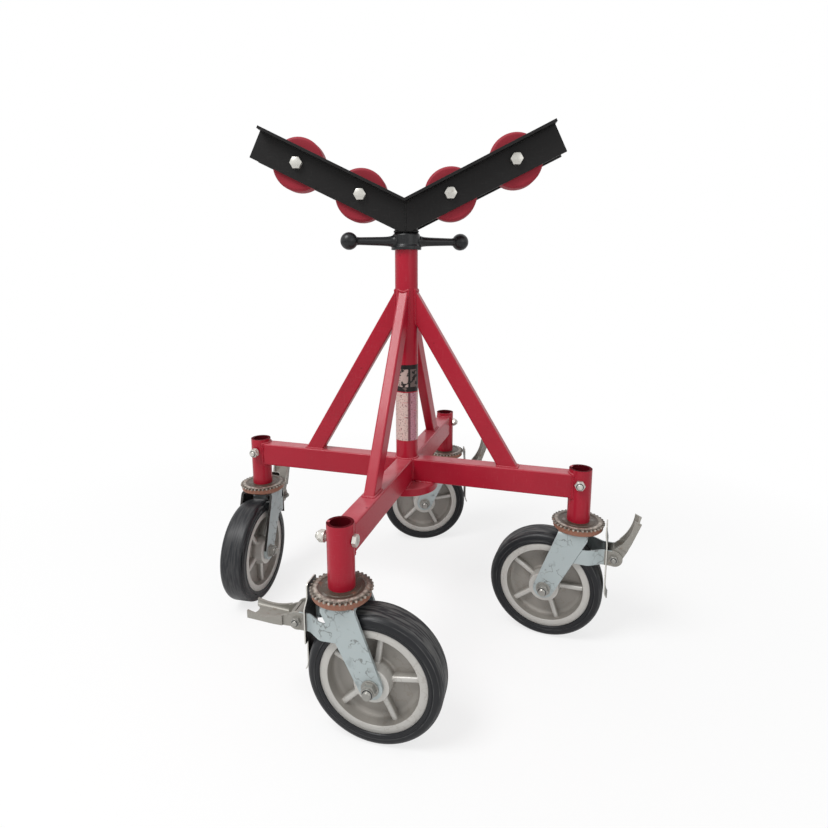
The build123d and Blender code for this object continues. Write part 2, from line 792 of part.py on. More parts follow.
def save_casters():
    """The four casters, each turned as in the photograph."""
    for name, angle in leg_angles.items():
        place = Rot(0, 0, angle) * Pos(leg_reach, 0, 0) * Rot(0, 0, caster_angles[name] - angle)
        brake_on = brakes_on[name]
        save(f"fork_{name}", place * fork())
        save(f"wheel_centre_{name}", place * wheel_centre(rib_angles[name]))
        save(f"tyre_{name}", place * tyre())
        bolts = caster_bolts()
        if caster_bolts_turned[name]:
            bolts = [mirror(piece, Plane.XZ) for piece in bolts]
        save(f"caster_bolts_{name}", *[place * piece for piece in bolts])
        save(f"bracket_{name}", *[place * piece for piece in bracket()])
        save(f"pedal_{name}", place * pedal(brake_on))
        save(f"blade_{name}", place * blade(brake_on))


def save_head():
    """The hand nut, the screw and the V head with its rollers."""
    turn = Rot(0, 0, head_yaw_angle)
    save("hand_nut", hand_nut())
    save("screw", screw())
    front_right = head_arm()
    rear_right = mirror(front_right, Plane.XZ)
    save("arm_front_right", turn * front_right)
    save("arm_rear_right", turn * rear_right)
    save("arm_front_left", turn * mirror(front_right, Plane.YZ))
    save("arm_rear_left", turn * mirror(rear_right, Plane.YZ))
    save("head_socket", turn * head_socket())
    save("roller_bolts", *[turn * piece for piece in roller_bolts()])
    names = ("outer_left", "inner_left", "inner_right", "outer_right")
    for name, (x, z) in zip(names, roller_places()):
        save(f"roller_{name}", turn * Pos(x, 0, z) * roller())


os.makedirs("parts", exist_ok=True)
save_frame()
save_casters()
save_head()
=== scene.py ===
"""Dresses a wheeled pipe jack stand: its welds, thread, bolts, tyres and castings, the finish of every
surface, and the pale studio that it stands in.

Metres, Z up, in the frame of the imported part. The right leg runs along +X and the front leg along -Y.
Sizes inside a piece are written in millimetres and turned to metres where its mesh is made.
"""

import json

import bmesh
import bpy
import numpy as np
from mathutils import Euler, Matrix, Vector

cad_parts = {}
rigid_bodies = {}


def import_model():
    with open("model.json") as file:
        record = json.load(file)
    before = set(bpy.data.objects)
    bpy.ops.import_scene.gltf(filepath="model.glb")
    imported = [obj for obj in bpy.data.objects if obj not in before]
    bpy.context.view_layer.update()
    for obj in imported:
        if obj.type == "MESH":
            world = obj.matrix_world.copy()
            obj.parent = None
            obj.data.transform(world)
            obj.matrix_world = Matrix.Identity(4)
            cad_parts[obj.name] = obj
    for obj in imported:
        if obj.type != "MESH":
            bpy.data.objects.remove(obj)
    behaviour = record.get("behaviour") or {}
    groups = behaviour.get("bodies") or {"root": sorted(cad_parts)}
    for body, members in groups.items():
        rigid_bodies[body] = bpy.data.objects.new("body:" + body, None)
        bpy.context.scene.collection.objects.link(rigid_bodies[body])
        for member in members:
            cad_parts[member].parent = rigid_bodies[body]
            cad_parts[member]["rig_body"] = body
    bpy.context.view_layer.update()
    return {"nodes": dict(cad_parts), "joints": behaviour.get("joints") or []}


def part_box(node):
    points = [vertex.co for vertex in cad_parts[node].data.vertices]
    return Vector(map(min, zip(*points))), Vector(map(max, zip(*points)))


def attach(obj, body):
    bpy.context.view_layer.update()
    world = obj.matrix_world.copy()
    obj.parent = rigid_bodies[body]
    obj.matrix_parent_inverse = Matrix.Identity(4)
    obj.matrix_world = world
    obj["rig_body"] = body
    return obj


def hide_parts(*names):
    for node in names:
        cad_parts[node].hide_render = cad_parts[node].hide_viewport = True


bl_info = {
    "name": "Pipe Jack Stand",
    "version": (1, 0, 0),
    "blender": (4, 5, 0),
    "location": "View3D > Sidebar > Jack Stand",
    "description": "Makes the visible pieces, finishes and stage of a wheeled pipe jack stand",
    "category": "Object",
}

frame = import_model()
nodes = frame["nodes"]

MM = 0.001
MERGE = 0.000002
UP = np.array([0.0, 0.0, 1.0])
SIDES = ("front", "right", "back", "left")
LEG_TURNS = {"front": -90.0, "right": 0.0, "back": 90.0, "left": 180.0}
RIB_TURNS = {"front": 9.0, "right": 34.0, "back": 27.0, "left": 54.0}
ROLLERS = ("outer_left", "inner_left", "inner_right", "outer_right")


def joint_place(name):
    """Where a joint is, in millimetres, and its axes: across its own axis, along it and up."""
    joint = next(entry for entry in frame["joints"] if entry["name"] == name)
    axle = np.array(joint["axis"], float)
    return np.array(joint["pos_m"]) / MM, np.array([np.cross(axle, UP), axle, UP])


def box_mm(node):
    """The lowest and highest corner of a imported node, in millimetres."""
    return [np.array(corner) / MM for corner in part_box(node)]


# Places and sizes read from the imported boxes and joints, and the few from the design that no box gives
POST, LEG, BRACE, SOCKET = (box_mm(node) for node in ("post", "leg_right", "brace_right", "socket_right"))
AXIS = np.array([*(POST[0] + POST[1])[:2] / 2, 0.0])
UPRIGHT = (AXIS, np.eye(3))
HEAD_PLACE = (AXIS, joint_place("inner_right_roll")[1])
POST_TOP = POST[1][2]
LEG_LOW, LEG_TOP, LEG_HALF = LEG[0][2], LEG[1][2], LEG[1][1]
BRACE_RUN, BRACE_HALF = BRACE[1][0] - AXIS[0], BRACE[1][1]
BRACE_DEPTH, BRACE_ANGLE = 31.75, np.radians(58.9)
SOCKET_LOW, SOCKET_TOP, SOCKET_RADIUS = SOCKET[0][2], SOCKET[1][2], SOCKET[1][1]
SOCKET_WALL = 4.0
REACH = joint_place("right_swivel")[0][0] - AXIS[0]
POST_RADIUS, HUB_RADIUS = ((high[1] - low[1]) / 2 for low, high in (POST, box_mm("hub_plate")))
NUT_TOP = box_mm("hand_nut")[1][2]
HEAD_LOW, HEAD_SOCKET_RADIUS, HEAD_SEAM = box_mm("head_socket")[0][2], 21.0, 51.0
ARM_FACE = ROLLER_FACE = 26.0
FORK_FACE, EAR_FACE, AXLE_WASHER = 35.0, 18.5, 2.0
PLATE_TOP, RACE_DEPTH = SOCKET_LOW - 11.5, 3.1


# Places of the pieces


def turned_axes(turn):
    """The axes turned by an angle about the upright one."""
    return np.array([[np.cos(turn), np.sin(turn), 0], [-np.sin(turn), np.cos(turn), 0], UP])


def leg_place(side):
    """The origin and axes of a leg: along the leg, across it and up."""
    return AXIS, turned_axes(np.radians(LEG_TURNS[side]))


def caster_place(side):
    """The origin on the floor under a caster's swivel, and its axes: along the trail, along the axle and
    up."""
    return joint_place(f"{side}_swivel")[0] * [1, 1, 0], joint_place(f"{side}_wheel_roll")[1]


def shifted(place, offset):
    """The same axes with the origin moved by an offset along them."""
    origin, axes = place
    return origin + np.asarray(offset, float) @ axes, axes


def turned_round(place):
    """The same place turned half round about its upright axis."""
    origin, axes = place
    return origin, axes * [[-1], [-1], [1]]


def size_mm(name):
    """A size that is set in the sidebar, in millimetres."""
    return getattr(bpy.context.scene.jack_sizes, name) / MM


# Shapes as grids of points


def ring_angles(steps):
    """Evenly spaced angles once round, without the last one."""
    return np.linspace(0, 2 * np.pi, steps, endpoint=False)


def soft_top(one, two, soft):
    """What a soft maximum adds to the plain one: max(k - |a - b|, 0)^2 / 4k, which rounds the corner
    between."""
    return np.maximum(soft - np.abs(one - two), 0) ** 2 / (4 * soft)


def rounded(points, radius, steps=5):
    """A profile whose inner corners are arcs (1-t)^2 a + 2t(1-t) corner + t^2 b, with a and b one radius
    away."""
    points = np.asarray(points, float)
    corner = points[1:-1]
    back, ahead = points[:-2] - corner, points[2:] - corner
    back_length, ahead_length = (np.linalg.norm(way, axis=1, keepdims=True) for way in (back, ahead))
    radius = np.broadcast_to(np.asarray(radius, float), len(corner))[:, None]
    cut = np.minimum(radius, 0.48 * np.minimum(back_length, ahead_length))
    start = (corner + back / back_length * cut)[:, None]
    end = (corner + ahead / ahead_length * cut)[:, None]
    t = np.linspace(0, 1, steps)[None, :, None]
    arcs = (1 - t) ** 2 * start + 2 * t * (1 - t) * corner[:, None] + t**2 * end
    return np.vstack([points[:1], arcs.reshape(-1, 2), points[-1:]])


def around(radius, height, angle, axis="Y"):
    """Points round an axis: (r cos a, r sin a) across it and h along it, for the radius, height and angle
    of each."""
    one, two, along = np.broadcast_arrays(radius * np.cos(angle), radius * np.sin(angle), height)
    order = {"X": (along, one, two), "Y": (one, along, two), "Z": (one, two, along)}
    return np.stack(order[axis], -1)


def lathe(profile, steps, axis="Y"):
    """A profile of (radius r, height h) points carried once round an axis: (r cos a, r sin a) across and
    h along."""
    radius, height = np.asarray(profile, float).T[..., None]
    return around(radius, height, ring_angles(steps), axis)


def hexagon(flats, low, high):
    """A hexagon bar along Y that reaches half its flats over the cosine of the angle from the nearest
    flat. The corners at high are cut by a cone that rises 30 degrees from 96% of its flats."""
    sector = np.pi / 3
    angle = ring_angles(48)
    reach = flats / 2 / np.cos(np.mod(angle, sector) - sector / 2)
    crown = 0.96 * flats / 2
    shoulder = high - np.sign(high - low) * (reach - crown) * np.tan(np.radians(30))
    rows = [(0, high), (crown, high), (reach, shoulder), (reach, low), (0, low)]
    radius, height = (np.array([row[part] + 0 * angle for row in rows]) for part in (0, 1))
    return around(radius, height, angle)


def shank(radius, low, high, pitch):
    """A threaded rod along Y: its radius swings by one thread depth, half the pitch, every pitch."""
    depth = pitch * 0.5
    height = np.linspace(low, high, max(8, int(abs(high - low) / pitch * 6)))[1:-1]
    wave = np.abs(np.mod(height / pitch, 1) - 0.5) * 2
    thread = np.stack([radius - depth * wave, height], -1)
    return lathe([(0, low), (radius - depth, low), *thread, (radius - depth, high), (0, high)], 28)


def disc(outer, low, high, edge=0.5, steps=4):
    """A flat disc along Y with a small rounded edge."""
    return lathe(rounded([(0, low), (outer, low), (outer, high), (0, high)], edge, steps), 40)


def resampled(path, step, closed):
    """Points at even distances along a path, and those distances."""
    path = np.asarray(path, float)
    if closed:
        path = np.vstack([path, path[:1]])
    lengths = np.r_[0, np.cumsum(np.linalg.norm(np.diff(path, axis=0), axis=1))]
    places = np.linspace(0, lengths[-1], max(6, int(lengths[-1] / step)), endpoint=not closed)
    return np.stack([np.interp(places, lengths, path[:, k]) for k in range(3)], -1), places


def unit(vectors):
    """The same directions at a length of one."""
    return vectors / np.linalg.norm(vectors, axis=-1, keepdims=True)


def bead(place, path, closed=True, beside=None, share=1.0):
    """The shell of a weld bead: a circle carried along a path, whose radius r(0.9 + 0.2|sin(pi s /
    pitch)| + slow waves) ripples with the distance s. The ends of an open bead close to a point."""
    pitch = size_mm("weld_pitch")
    centres, places = resampled(path, pitch / 4, closed)
    if closed:
        tangent = np.roll(centres, -1, 0) - np.roll(centres, 1, 0)
        reference = centres - centres.mean(0)
    else:
        tangent = np.gradient(centres, axis=0)
        reference = np.broadcast_to(np.asarray(beside, float), centres.shape)
    tangent = unit(tangent)
    side = unit(np.cross(tangent, reference))
    lift = np.cross(side, tangent)
    ripple = 0.2 * np.abs(np.sin(np.pi * places / pitch))
    slow = 0.06 * np.sin(places * 0.31) + 0.05 * np.sin(places * 0.83 + 1)
    size = size_mm("weld_radius") * share * (0.9 + ripple + slow)
    if not closed:
        along = np.abs(np.linspace(-1, 1, len(places)))
        size = size * np.sqrt(np.clip(1 - along**12, 0, 1))
    angle = ring_angles(9)[None, :, None]
    circle = np.cos(angle) * side[:, None] + np.sin(angle) * lift[:, None]
    return shell(centres[:, None] + size[:, None, None] * circle, place, closed_rows=closed)


# Meshes from grids


def shell(grid, place, marks=0.0, closed_rows=False, closed_columns=True):
    """A grid of points in a place's axes, as points in metres, four-cornered faces and marks."""
    origin, axes = place
    rows, columns = grid.shape[:2]
    index = np.arange(rows * columns).reshape(rows, columns)
    if closed_columns:
        index = np.hstack([index, index[:, :1]])
    if closed_rows:
        index = np.vstack([index, index[:1]])
    faces = np.stack([index[:-1, :-1], index[1:, :-1], index[1:, 1:], index[:-1, 1:]], -1)
    points = (grid.reshape(-1, 3) @ axes + origin) * MM
    return points, faces.reshape(-1, 4), np.broadcast_to(marks, (rows, columns)).ravel()


def make_piece(name, shells, body, slot, coat=None, crease=38.0, replaced=None):
    """Joins shells into one smooth mesh with creases over an angle, and lets it ride on a body."""
    points, faces, marks = zip(*shells)
    starts = np.cumsum([0, *map(len, points)])
    faces = np.concatenate([some + start for some, start in zip(faces, starts)])
    marks = np.concatenate(marks)
    mesh = bpy.data.meshes.new(name)
    mesh.from_pydata(np.concatenate(points), [], faces)
    if marks.any():
        write(mesh, "mark", "FLOAT", "value", marks)
    clean(mesh, False)
    return finish_mesh(name, mesh, body, slot, coat, crease, replaced)


def read(rows, key, kind=float):
    """One value of three parts from each row of mesh data."""
    values = np.empty(len(rows) * 3, kind)
    rows.foreach_get(key, values)
    return values.reshape(-1, 3)


def write(mesh, name, kind, key, values):
    """A new attribute of a mesh's points."""
    layer = mesh.attributes.new(name, kind, "POINT")
    layer.data.foreach_set(key, values.astype(np.float32).ravel())


def clean(mesh, whole_faces):
    """Merges doubled points, then makes flat faces whole again, or closes poles and turns closed shells
    outwards."""
    work = bmesh.new()
    work.from_mesh(mesh)
    bmesh.ops.remove_doubles(work, verts=work.verts, dist=MERGE)
    if whole_faces:
        bmesh.ops.dissolve_limit(work, angle_limit=np.radians(0.5), verts=work.verts, edges=work.edges)
    else:
        bmesh.ops.dissolve_degenerate(work, edges=work.edges, dist=MERGE)
        bmesh.ops.recalc_face_normals(work, faces=work.faces)
    work.to_mesh(mesh)
    work.free()


def linked(name, data):
    """A new object in the scene that shows some data."""
    made = bpy.data.objects.new(name, data)
    bpy.context.scene.collection.objects.link(made)
    return made


def finish_mesh(name, mesh, body, slot, coat, crease, replaced):
    """Smooth shading, a finish, or else the one named as its slot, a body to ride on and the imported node
    that the piece stands for."""
    mesh.polygons.foreach_set("use_smooth", np.ones(len(mesh.polygons), bool))
    mesh.set_sharp_from_angle(angle=np.radians(crease))
    mesh.materials.append(finish(coat or slot))
    piece = linked(name, mesh)
    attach(piece, body)
    if replaced:
        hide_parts(replaced)
    return piece


def eased(node, width, slot, coat=None, steps=2):
    """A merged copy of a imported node, with its flat faces whole again and its sharp edges rounded by a
    bevel."""
    source = nodes[node].data
    source.calc_loop_triangles()
    mesh = bpy.data.meshes.new(f"{node}_eased")
    corners = read(source.loop_triangles, "vertices", np.int32)
    mesh.from_pydata(read(source.vertices, "co", np.float32), [], corners)
    clean(mesh, True)
    piece = finish_mesh(f"{node}_eased", mesh, nodes[node]["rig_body"], slot, coat, 30.0, node)
    bevel = piece.modifiers.new("Eased edges", "BEVEL")
    bevel.width = width * MM
    bevel.segments = steps
    bevel.limit_method = "ANGLE"
    bevel.angle_limit = np.radians(32)
    bevel.harden_normals = True
    return piece


def face_centres(piece, side):
    """The middle and the normal of each face of a caster's piece, in that caster's own axes, in
    millimetres."""
    origin, axes = caster_place(side)
    faces = piece.data.polygons
    return (read(faces, "center") / MM - origin) @ axes.T, read(faces, "normal") @ axes.T


def add_finish(piece, coat, where):
    """One more finish on some of a piece's faces."""
    mesh = piece.data
    mesh.materials.append(finish(coat))
    index = np.empty(len(mesh.polygons), np.int32)
    mesh.polygons.foreach_get("material_index", index)
    index[where] = len(mesh.materials) - 1
    mesh.polygons.foreach_set("material_index", index)


# Nodes of the finishes

MIX_UNDER, MIX_OVER, MIX_COLOUR = 6, 7, 2


def linear(red, green, blue):
    """A screen colour of 0 to 255 as the linear values that shaders take."""
    share = np.array([red, green, blue]) / 255
    value = np.where(share <= 0.04045, share / 12.92, ((share + 0.055) / 1.055) ** 2.4)
    return tuple(float(v) for v in value)


def shade(colour):
    """A colour given by its name in the sidebar, by a colour and a share of its light, or by its own
    values."""
    if isinstance(colour, str):
        return tuple(getattr(bpy.context.scene.jack_colours, colour))
    if len(colour) == 2:
        return tuple(value * colour[1] for value in shade(colour[0]))
    return colour


def set_or_link(tree, socket, value):
    """Gives a socket a value or links it to another node's socket."""
    if isinstance(value, bpy.types.NodeSocket):
        tree.links.new(value, socket)
    else:
        socket.default_value = value


def add(tree, kind, sockets=None, **settings):
    """A node with its settings, whose sockets are given values or are linked to other nodes' sockets."""
    made = tree.nodes.new(f"ShaderNode{kind}")
    for key, value in settings.items():
        setattr(made, key, value)
    for key, value in (sockets or {}).items():
        set_or_link(tree, made.inputs[key], value)
    return made


def maths(tree, operation, *values):
    """The outcome of one operation on some values."""
    return add(tree, "Math", dict(enumerate(values)), operation=operation).outputs[0]


def times(tree, product, *others):
    """The product of some values."""
    for other in others:
        product = maths(tree, "MULTIPLY", product, other)
    return product


def stretched(tree, value, low, high, to_low=0.0, to_high=1.0):
    """A value between low and high brought to between two others, and kept there."""
    sockets = {"Value": value, "From Min": low, "From Max": high, "To Min": to_low, "To Max": to_high}
    return add(tree, "MapRange", sockets, clamp=True).outputs["Result"]


def spots_at(tree, scale, detail, stretch=(1, 1, 1)):
    """Noise on the piece's own coordinates."""
    place = add(tree, "TexCoord").outputs["Object"]
    turned = add(tree, "Mapping", {"Vector": place, "Scale": stretch}).outputs["Vector"]
    return add(tree, "TexNoise", {"Vector": turned, "Scale": scale, "Detail": detail}).outputs["Fac"]


def edge_wear_and_highlight_mask(group, given):
    """White along edges, for worn edges and for a painted edge highlight: one minus how far the rounded
    normal agrees with the face's own, broken up by noise."""
    soft = add(group, "Bevel", {"Radius": given["Radius"]}, samples=4).outputs["Normal"]
    face = add(group, "NewGeometry").outputs["Normal"]
    agree = add(group, "VectorMath", {0: soft, 1: face}, operation="DOT_PRODUCT").outputs["Value"]
    broken = stretched(group, spots_at(group, 160.0, 4.0), 0.42, 0.62)
    return times(group, stretched(group, agree, 0.995, 0.8), broken, given["Amount"])


def patches_mask(group, given):
    """Patches that cover a given share: noise cut at one minus that share."""
    low = stretched(group, given["Cover"], 0, 1, 0.74, 0.3)
    high = maths(group, "ADD", low, given["Softness"])
    return stretched(group, spots_at(group, given["Scale"], 6.0), low, high)


def cast_grain_height(group, given):
    """The height of a cast or painted skin: coarse dimples under fine grain of four times their scale."""
    coarse = spots_at(group, given["Scale"], 2.0)
    fine = spots_at(group, times(group, given["Scale"], 4.0), 2.0)
    return maths(group, "ADD", coarse, times(group, fine, given["Fine share"]))


def scratches_mask(group, given):
    """Fine scratches in two directions: noise drawn out long and cut to its crests."""
    one = stretched(group, spots_at(group, 60.0, 3.0, (1, 1, 18)), 0.62, 0.7)
    two = stretched(group, spots_at(group, 55.0, 3.0, (14, 14, 1)), 0.64, 0.7)
    return times(group, maths(group, "MAXIMUM", one, two), given["Amount"])


def settled_dust_and_sheen_mask(group, given):
    """Dust on what faces up, which on the red paint also paints a sheen: the normal's upward share times
    slow noise.
    """
    parts = add(group, "SeparateXYZ", {0: add(group, "NewGeometry").outputs["Normal"]})
    up = stretched(group, parts.outputs["Z"], 0.3, 1.0)
    cloudy = stretched(group, spots_at(group, 25.0, 5.0), 0.3, 0.7, 0.35, 1.0)
    return times(group, up, cloudy, given["Amount"])


def smudges_mask(group, given):
    """Grime dragged into thin lines: the narrow band round the middle value of a noise, kept inside
    patches."""
    centred = maths(group, "SUBTRACT", spots_at(group, given["Scale"], 3.0), 0.5)
    line = stretched(group, maths(group, "ABSOLUTE", centred), 0.006, 0.022, 1.0, 0.0)
    where = stretched(group, spots_at(group, 17.0, 2.0), 0.46, 0.54)
    return times(group, line, where, given["Amount"])


# The shared groups: what makes each one's output, that output's name, and its inputs
GROUPS = {
    "Worn edges": (edge_wear_and_highlight_mask, "Mask", {"Radius": 0.0012, "Amount": 1.0}),
    "Patches": (patches_mask, "Mask", {"Scale": 30.0, "Cover": 0.3, "Softness": 0.08}),
    "Cast grain": (cast_grain_height, "Height", {"Scale": 300.0, "Fine share": 0.4}),
    "Scratches": (scratches_mask, "Mask", {"Amount": 0.3}),
    "Settled dust": (settled_dust_and_sheen_mask, "Mask", {"Amount": 0.3}),
    "Smudges": (smudges_mask, "Mask", {"Scale": 45.0, "Amount": 0.6}),
}


def new_group(name):
    """One of the shared groups, with its float inputs and its one float output."""
    maker, output, inputs = GROUPS[name]
    group = bpy.data.node_groups.new(name, "ShaderNodeTree")
    for label, value in inputs.items():
        socket = group.interface.new_socket(label, in_out="INPUT", socket_type="NodeSocketFloat")
        socket.default_value = value
    group.interface.new_socket(output, in_out="OUTPUT", socket_type="NodeSocketFloat")
    given = group.nodes.new("NodeGroupInput").outputs
    group.links.new(maker(group, given), group.nodes.new("NodeGroupOutput").inputs[output])
    return group


def effect(tree, name, **sockets):
    """One of the shared groups placed in a material, built the first time that it is asked for."""
    made = add(tree, "Group", node_tree=bpy.data.node_groups.get(name) or new_group(name))
    for key, value in sockets.items():
        made.inputs[key.replace("_", " ").capitalize()].default_value = value
    return made.outputs[0]


def patches(tree, scale, cover, softness):
    """The mask of the shared patches."""
    return effect(tree, "Patches", scale=scale, cover=cover, softness=softness)


def mark_of(tree):
    """The mesh's own mark."""
    return add(tree, "Attribute", attribute_name="mark").outputs["Fac"]


def blended(tree, mask, under, over):
    """One colour over another where the mask is white."""
    mix = add(tree, "Mix", {"Factor": mask}, data_type="RGBA")
    for place, colour in ((MIX_UNDER, under), (MIX_OVER, over)):
        given = colour if isinstance(colour, bpy.types.NodeSocket) else (*shade(colour), 1)
        set_or_link(tree, mix.inputs[place], given)
    return mix.outputs[MIX_COLOUR]


def layered(tree, base, *coats):
    """Colours laid over a base one after another, each where its own mask is white."""
    for mask, colour in coats:
        base = blended(tree, mask, base, colour)
    return base


def bumped(tree, surface, height, strength, distance):
    """Feeds a height through a bump to the surface's normal."""
    sockets = {"Height": height, "Strength": strength, "Distance": distance}
    tree.links.new(add(tree, "Bump", sockets).outputs["Normal"], surface.inputs["Normal"])


def grained(tree, surface, scale, fine_share, strength, distance):
    """Gives the surface the grain of a cast or painted skin."""
    grain = effect(tree, "Cast grain", scale=scale, fine_share=fine_share)
    bumped(tree, surface, grain, strength, distance)


def feed(tree, surface, **sockets):
    """Sets or links the surface's own sockets, named with underscores."""
    for key, value in sockets.items():
        set_or_link(tree, surface.inputs[key.replace("_", " ").title().replace("Ior", "IOR")], value)


# What is set in the sidebar


def colour_choice(name, description, *screen):
    """A colour property whose default is given in screen values of 0 to 255."""
    return bpy.props.FloatVectorProperty(
        name=name, description=description, subtype="COLOR", size=3, min=0, max=1, default=linear(*screen)
    )


def number_choice(name, description, default, unit="NONE"):
    """A number property, from zero up."""
    return bpy.props.FloatProperty(name=name, description=description, default=default, min=0, unit=unit)


def length_choice(name, description, default):
    """A length property, in metres."""
    return number_choice(name, description, default, "LENGTH")


class JackColours(bpy.types.PropertyGroup):
    """The colours of the stand's finishes."""

    red: colour_choice("Red paint", "Gloss paint of the frame", 164, 22, 44)
    # Pale pink film on upward red faces: partly dust, partly a painted sheen of the light from above.
    red_dust: colour_choice("Dust on red", "Pale film on what faces up", 218, 138, 146)
    # Pale pink on worn red edges: partly chipped paint, partly a painted edge highlight.
    chip: colour_choice("Chips", "What shows where paint is gone", 190, 110, 116)
    black: colour_choice("Black paint", "Satin paint of the V head", 26, 25, 25)
    cast_black: colour_choice("Black casting", "The hand nut", 24, 25, 27)
    roller: colour_choice("Rollers", "Red finish of the rollers", 146, 42, 54)
    zinc: colour_choice("Bolts", "Zinc of bolts and nuts", 205, 203, 196)
    nylon: colour_choice("Nut inserts", "Dark rings in the lock nuts", 44, 46, 48)
    plate: colour_choice("Caster plate", "Zinc plate of the forks", 172, 182, 183)
    grime: colour_choice("Grime", "Smudges on the plate", 88, 86, 82)
    steel: colour_choice("Dull steel", "Stems and the grey brake blades", 112, 110, 104)
    # Dark steel of the front and left blades, and painted shade on the far leg and bridge edges of the left
    # fork.
    blade: colour_choice("Blackened steel", "The dark brake blades", 40, 36, 34)
    ring: colour_choice("Swivel rings", "Browned steel of the toothed rings", 78, 66, 56)
    # Pale steel of the ring ridges and teeth: partly rubbed wear, partly a painted highlight, brightest at
    # the front.
    bright: colour_choice("Rubbed steel", "Bright ridge and teeth of the rings", 206, 198, 186)
    rust: colour_choice("Rust", "Copper-brown rust", 144, 97, 77)
    screw: colour_choice("Screw", "Oiled steel of the lifting screw", 66, 66, 68)
    aluminium: colour_choice("Aluminium", "Cast webs of the wheel centres", 148, 144, 138)
    rim: colour_choice("Rim faces", "Ribs and rings of the wheel centres", 190, 188, 183)
    rubber: colour_choice("Rubber", "Tyres", 25, 26, 29)
    # Also paints the two pale highlight lines on each tyre flank.
    tread: colour_choice("Tread dust", "Scuffed grey of the tread", 122, 122, 120)
    casting: colour_choice("Brake casting", "The pedals", 146, 143, 136)
    stain: colour_choice("Stain", "Brown stain on castings and plate", 118, 102, 86)
    label: colour_choice("Pale label", "The blank pale label on the post", 205, 180, 172)
    label_mauve: colour_choice("Mauve band", "The dull band of the pale label", 118, 72, 80)
    label_pink: colour_choice("Pink band", "The pink side of the pale label", 186, 134, 146)
    label_dark: colour_choice("Dark label", "The blank dark label on the post", 32, 28, 28)


class JackSizes(bpy.types.PropertyGroup):
    """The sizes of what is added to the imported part."""

    weld_radius: length_choice("Weld radius", "Half the width of a weld bead", 0.0024)
    weld_pitch: length_choice("Weld pitch", "Distance between a bead's ripples", 0.0035)
    thread_lead: length_choice("Screw lead", "Rise of the lifting screw in one turn", 0.00508)
    thread_depth: length_choice("Thread depth", "Depth of the lifting screw's thread", 0.0024)
    plate_edge: length_choice("Plate edge", "Rounding of cut plate edges", 0.0009)
    cast_edge: length_choice("Casting edge", "Rounding of cast edges", 0.0016)
    label_lift: length_choice("Label lift", "How far a label stands off the post", 0.0002)


class JackStage(bpy.types.PropertyGroup):
    """The camera and the lights."""

    camera_place: bpy.props.FloatVectorProperty(
        name="Camera place", description="Where the camera stands", subtype="XYZ", unit="LENGTH",
        default=(0.2789, -1.0091, 0.6801),
    )
    camera_turn: bpy.props.FloatVectorProperty(
        name="Camera turn", description="Pitch from straight down, roll and heading", subtype="EULER",
        default=tuple(float(np.radians(v)) for v in (79.95, -0.25, 17.31)),
    )
    lens: number_choice("Lens", "Focal length in millimetres", 24.53)
    shift: bpy.props.FloatVectorProperty(
        name="Shift", description="Shift of the photograph's frame", size=2, default=(0.0122, -0.0553)
    )
    sky: number_choice("Sky", "Strength of the even light", 0.5)
    key: number_choice("Key light", "Power of the key light in watts", 64)
    fill: number_choice("Fill light", "Power of the fill light in watts", 8)
    floor: colour_choice("Floor", "Pale floor", 250, 250, 250)
    floor_glow: number_choice("Floor white", "Share of plain white near the stand", 0.75)


SETTINGS = {"jack_colours": JackColours, "jack_sizes": JackSizes, "jack_stage": JackStage}


# Finishes


def paint(tree, surface, colour, roughness, dust, dust_and_sheen_colour, edge_wear_and_highlight, chip, peel, gloss=0.2):
    """Sprayed paint: cloudy colour, chipped edges, settled dust and an orange-peel skin. On the red paints
    the pale edges also paint an edge highlight, and on the red frame the dust also paints a sheen on upward
    faces.
    """
    scuffs = effect(tree, "Scratches", amount=1.0)
    base = layered(
        tree, colour,
        (patches(tree, 9.0, 0.5, 0.3), (colour, 0.84)),
        # Pale film on upward faces: dust, and on the red paint also a painted sheen.
        (effect(tree, "Settled dust", amount=dust), dust_and_sheen_colour),
        (patches(tree, 70.0, 0.06, 0.04), (colour, 0.45)),
        # Pale edges: chipped paint, and on the red paints also a painted edge highlight.
        (effect(tree, "Worn edges", radius=0.0012, amount=edge_wear_and_highlight), chip),
        (times(tree, scuffs, 0.1), chip),
    )
    rough = stretched(tree, scuffs, 0, 1, roughness, roughness + 0.25)
    feed(tree, surface, base_color=base, roughness=rough, specular_ior_level=gloss)
    grained(tree, surface, peel, 0.25, 0.12, 0.0006)


def bare_metal(
    tree, surface, colour, metallic, roughness, stain, cover, grain, depth, edge, edge_wear_and_highlight=0.5, scale=40.0
):
    """Bare or plated metal: stained patches, bright worn edges, scratches and a grain. Returns its
    colour."""
    stained = patches(tree, scale, cover, 0.12)
    base = layered(
        tree, colour,
        (patches(tree, 9.0, 0.5, 0.3), (colour, 0.86)),
        (stained, stain),
        (effect(tree, "Worn edges", radius=0.0009, amount=edge_wear_and_highlight), edge),
        (effect(tree, "Scratches", amount=0.25), edge),
    )
    rough = stretched(tree, stained, 0, 1, roughness, min(1.0, roughness + 0.2))
    feed(tree, surface, base_color=base, roughness=rough, metallic=metallic)
    grained(tree, surface, grain, 0.5, 0.25, depth)
    return base


def red_paint(tree, surface):
    """Gloss red paint of the frame, under a thin clear coat."""
    # The pale film on upward faces is partly a painted sheen, and the pale edges partly a painted highlight.
    paint(tree, surface, "red", 0.3, 0.4, "red_dust", 0.45, "chip", 260.0)
    feed(tree, surface, coat_weight=0.15, coat_roughness=0.15)


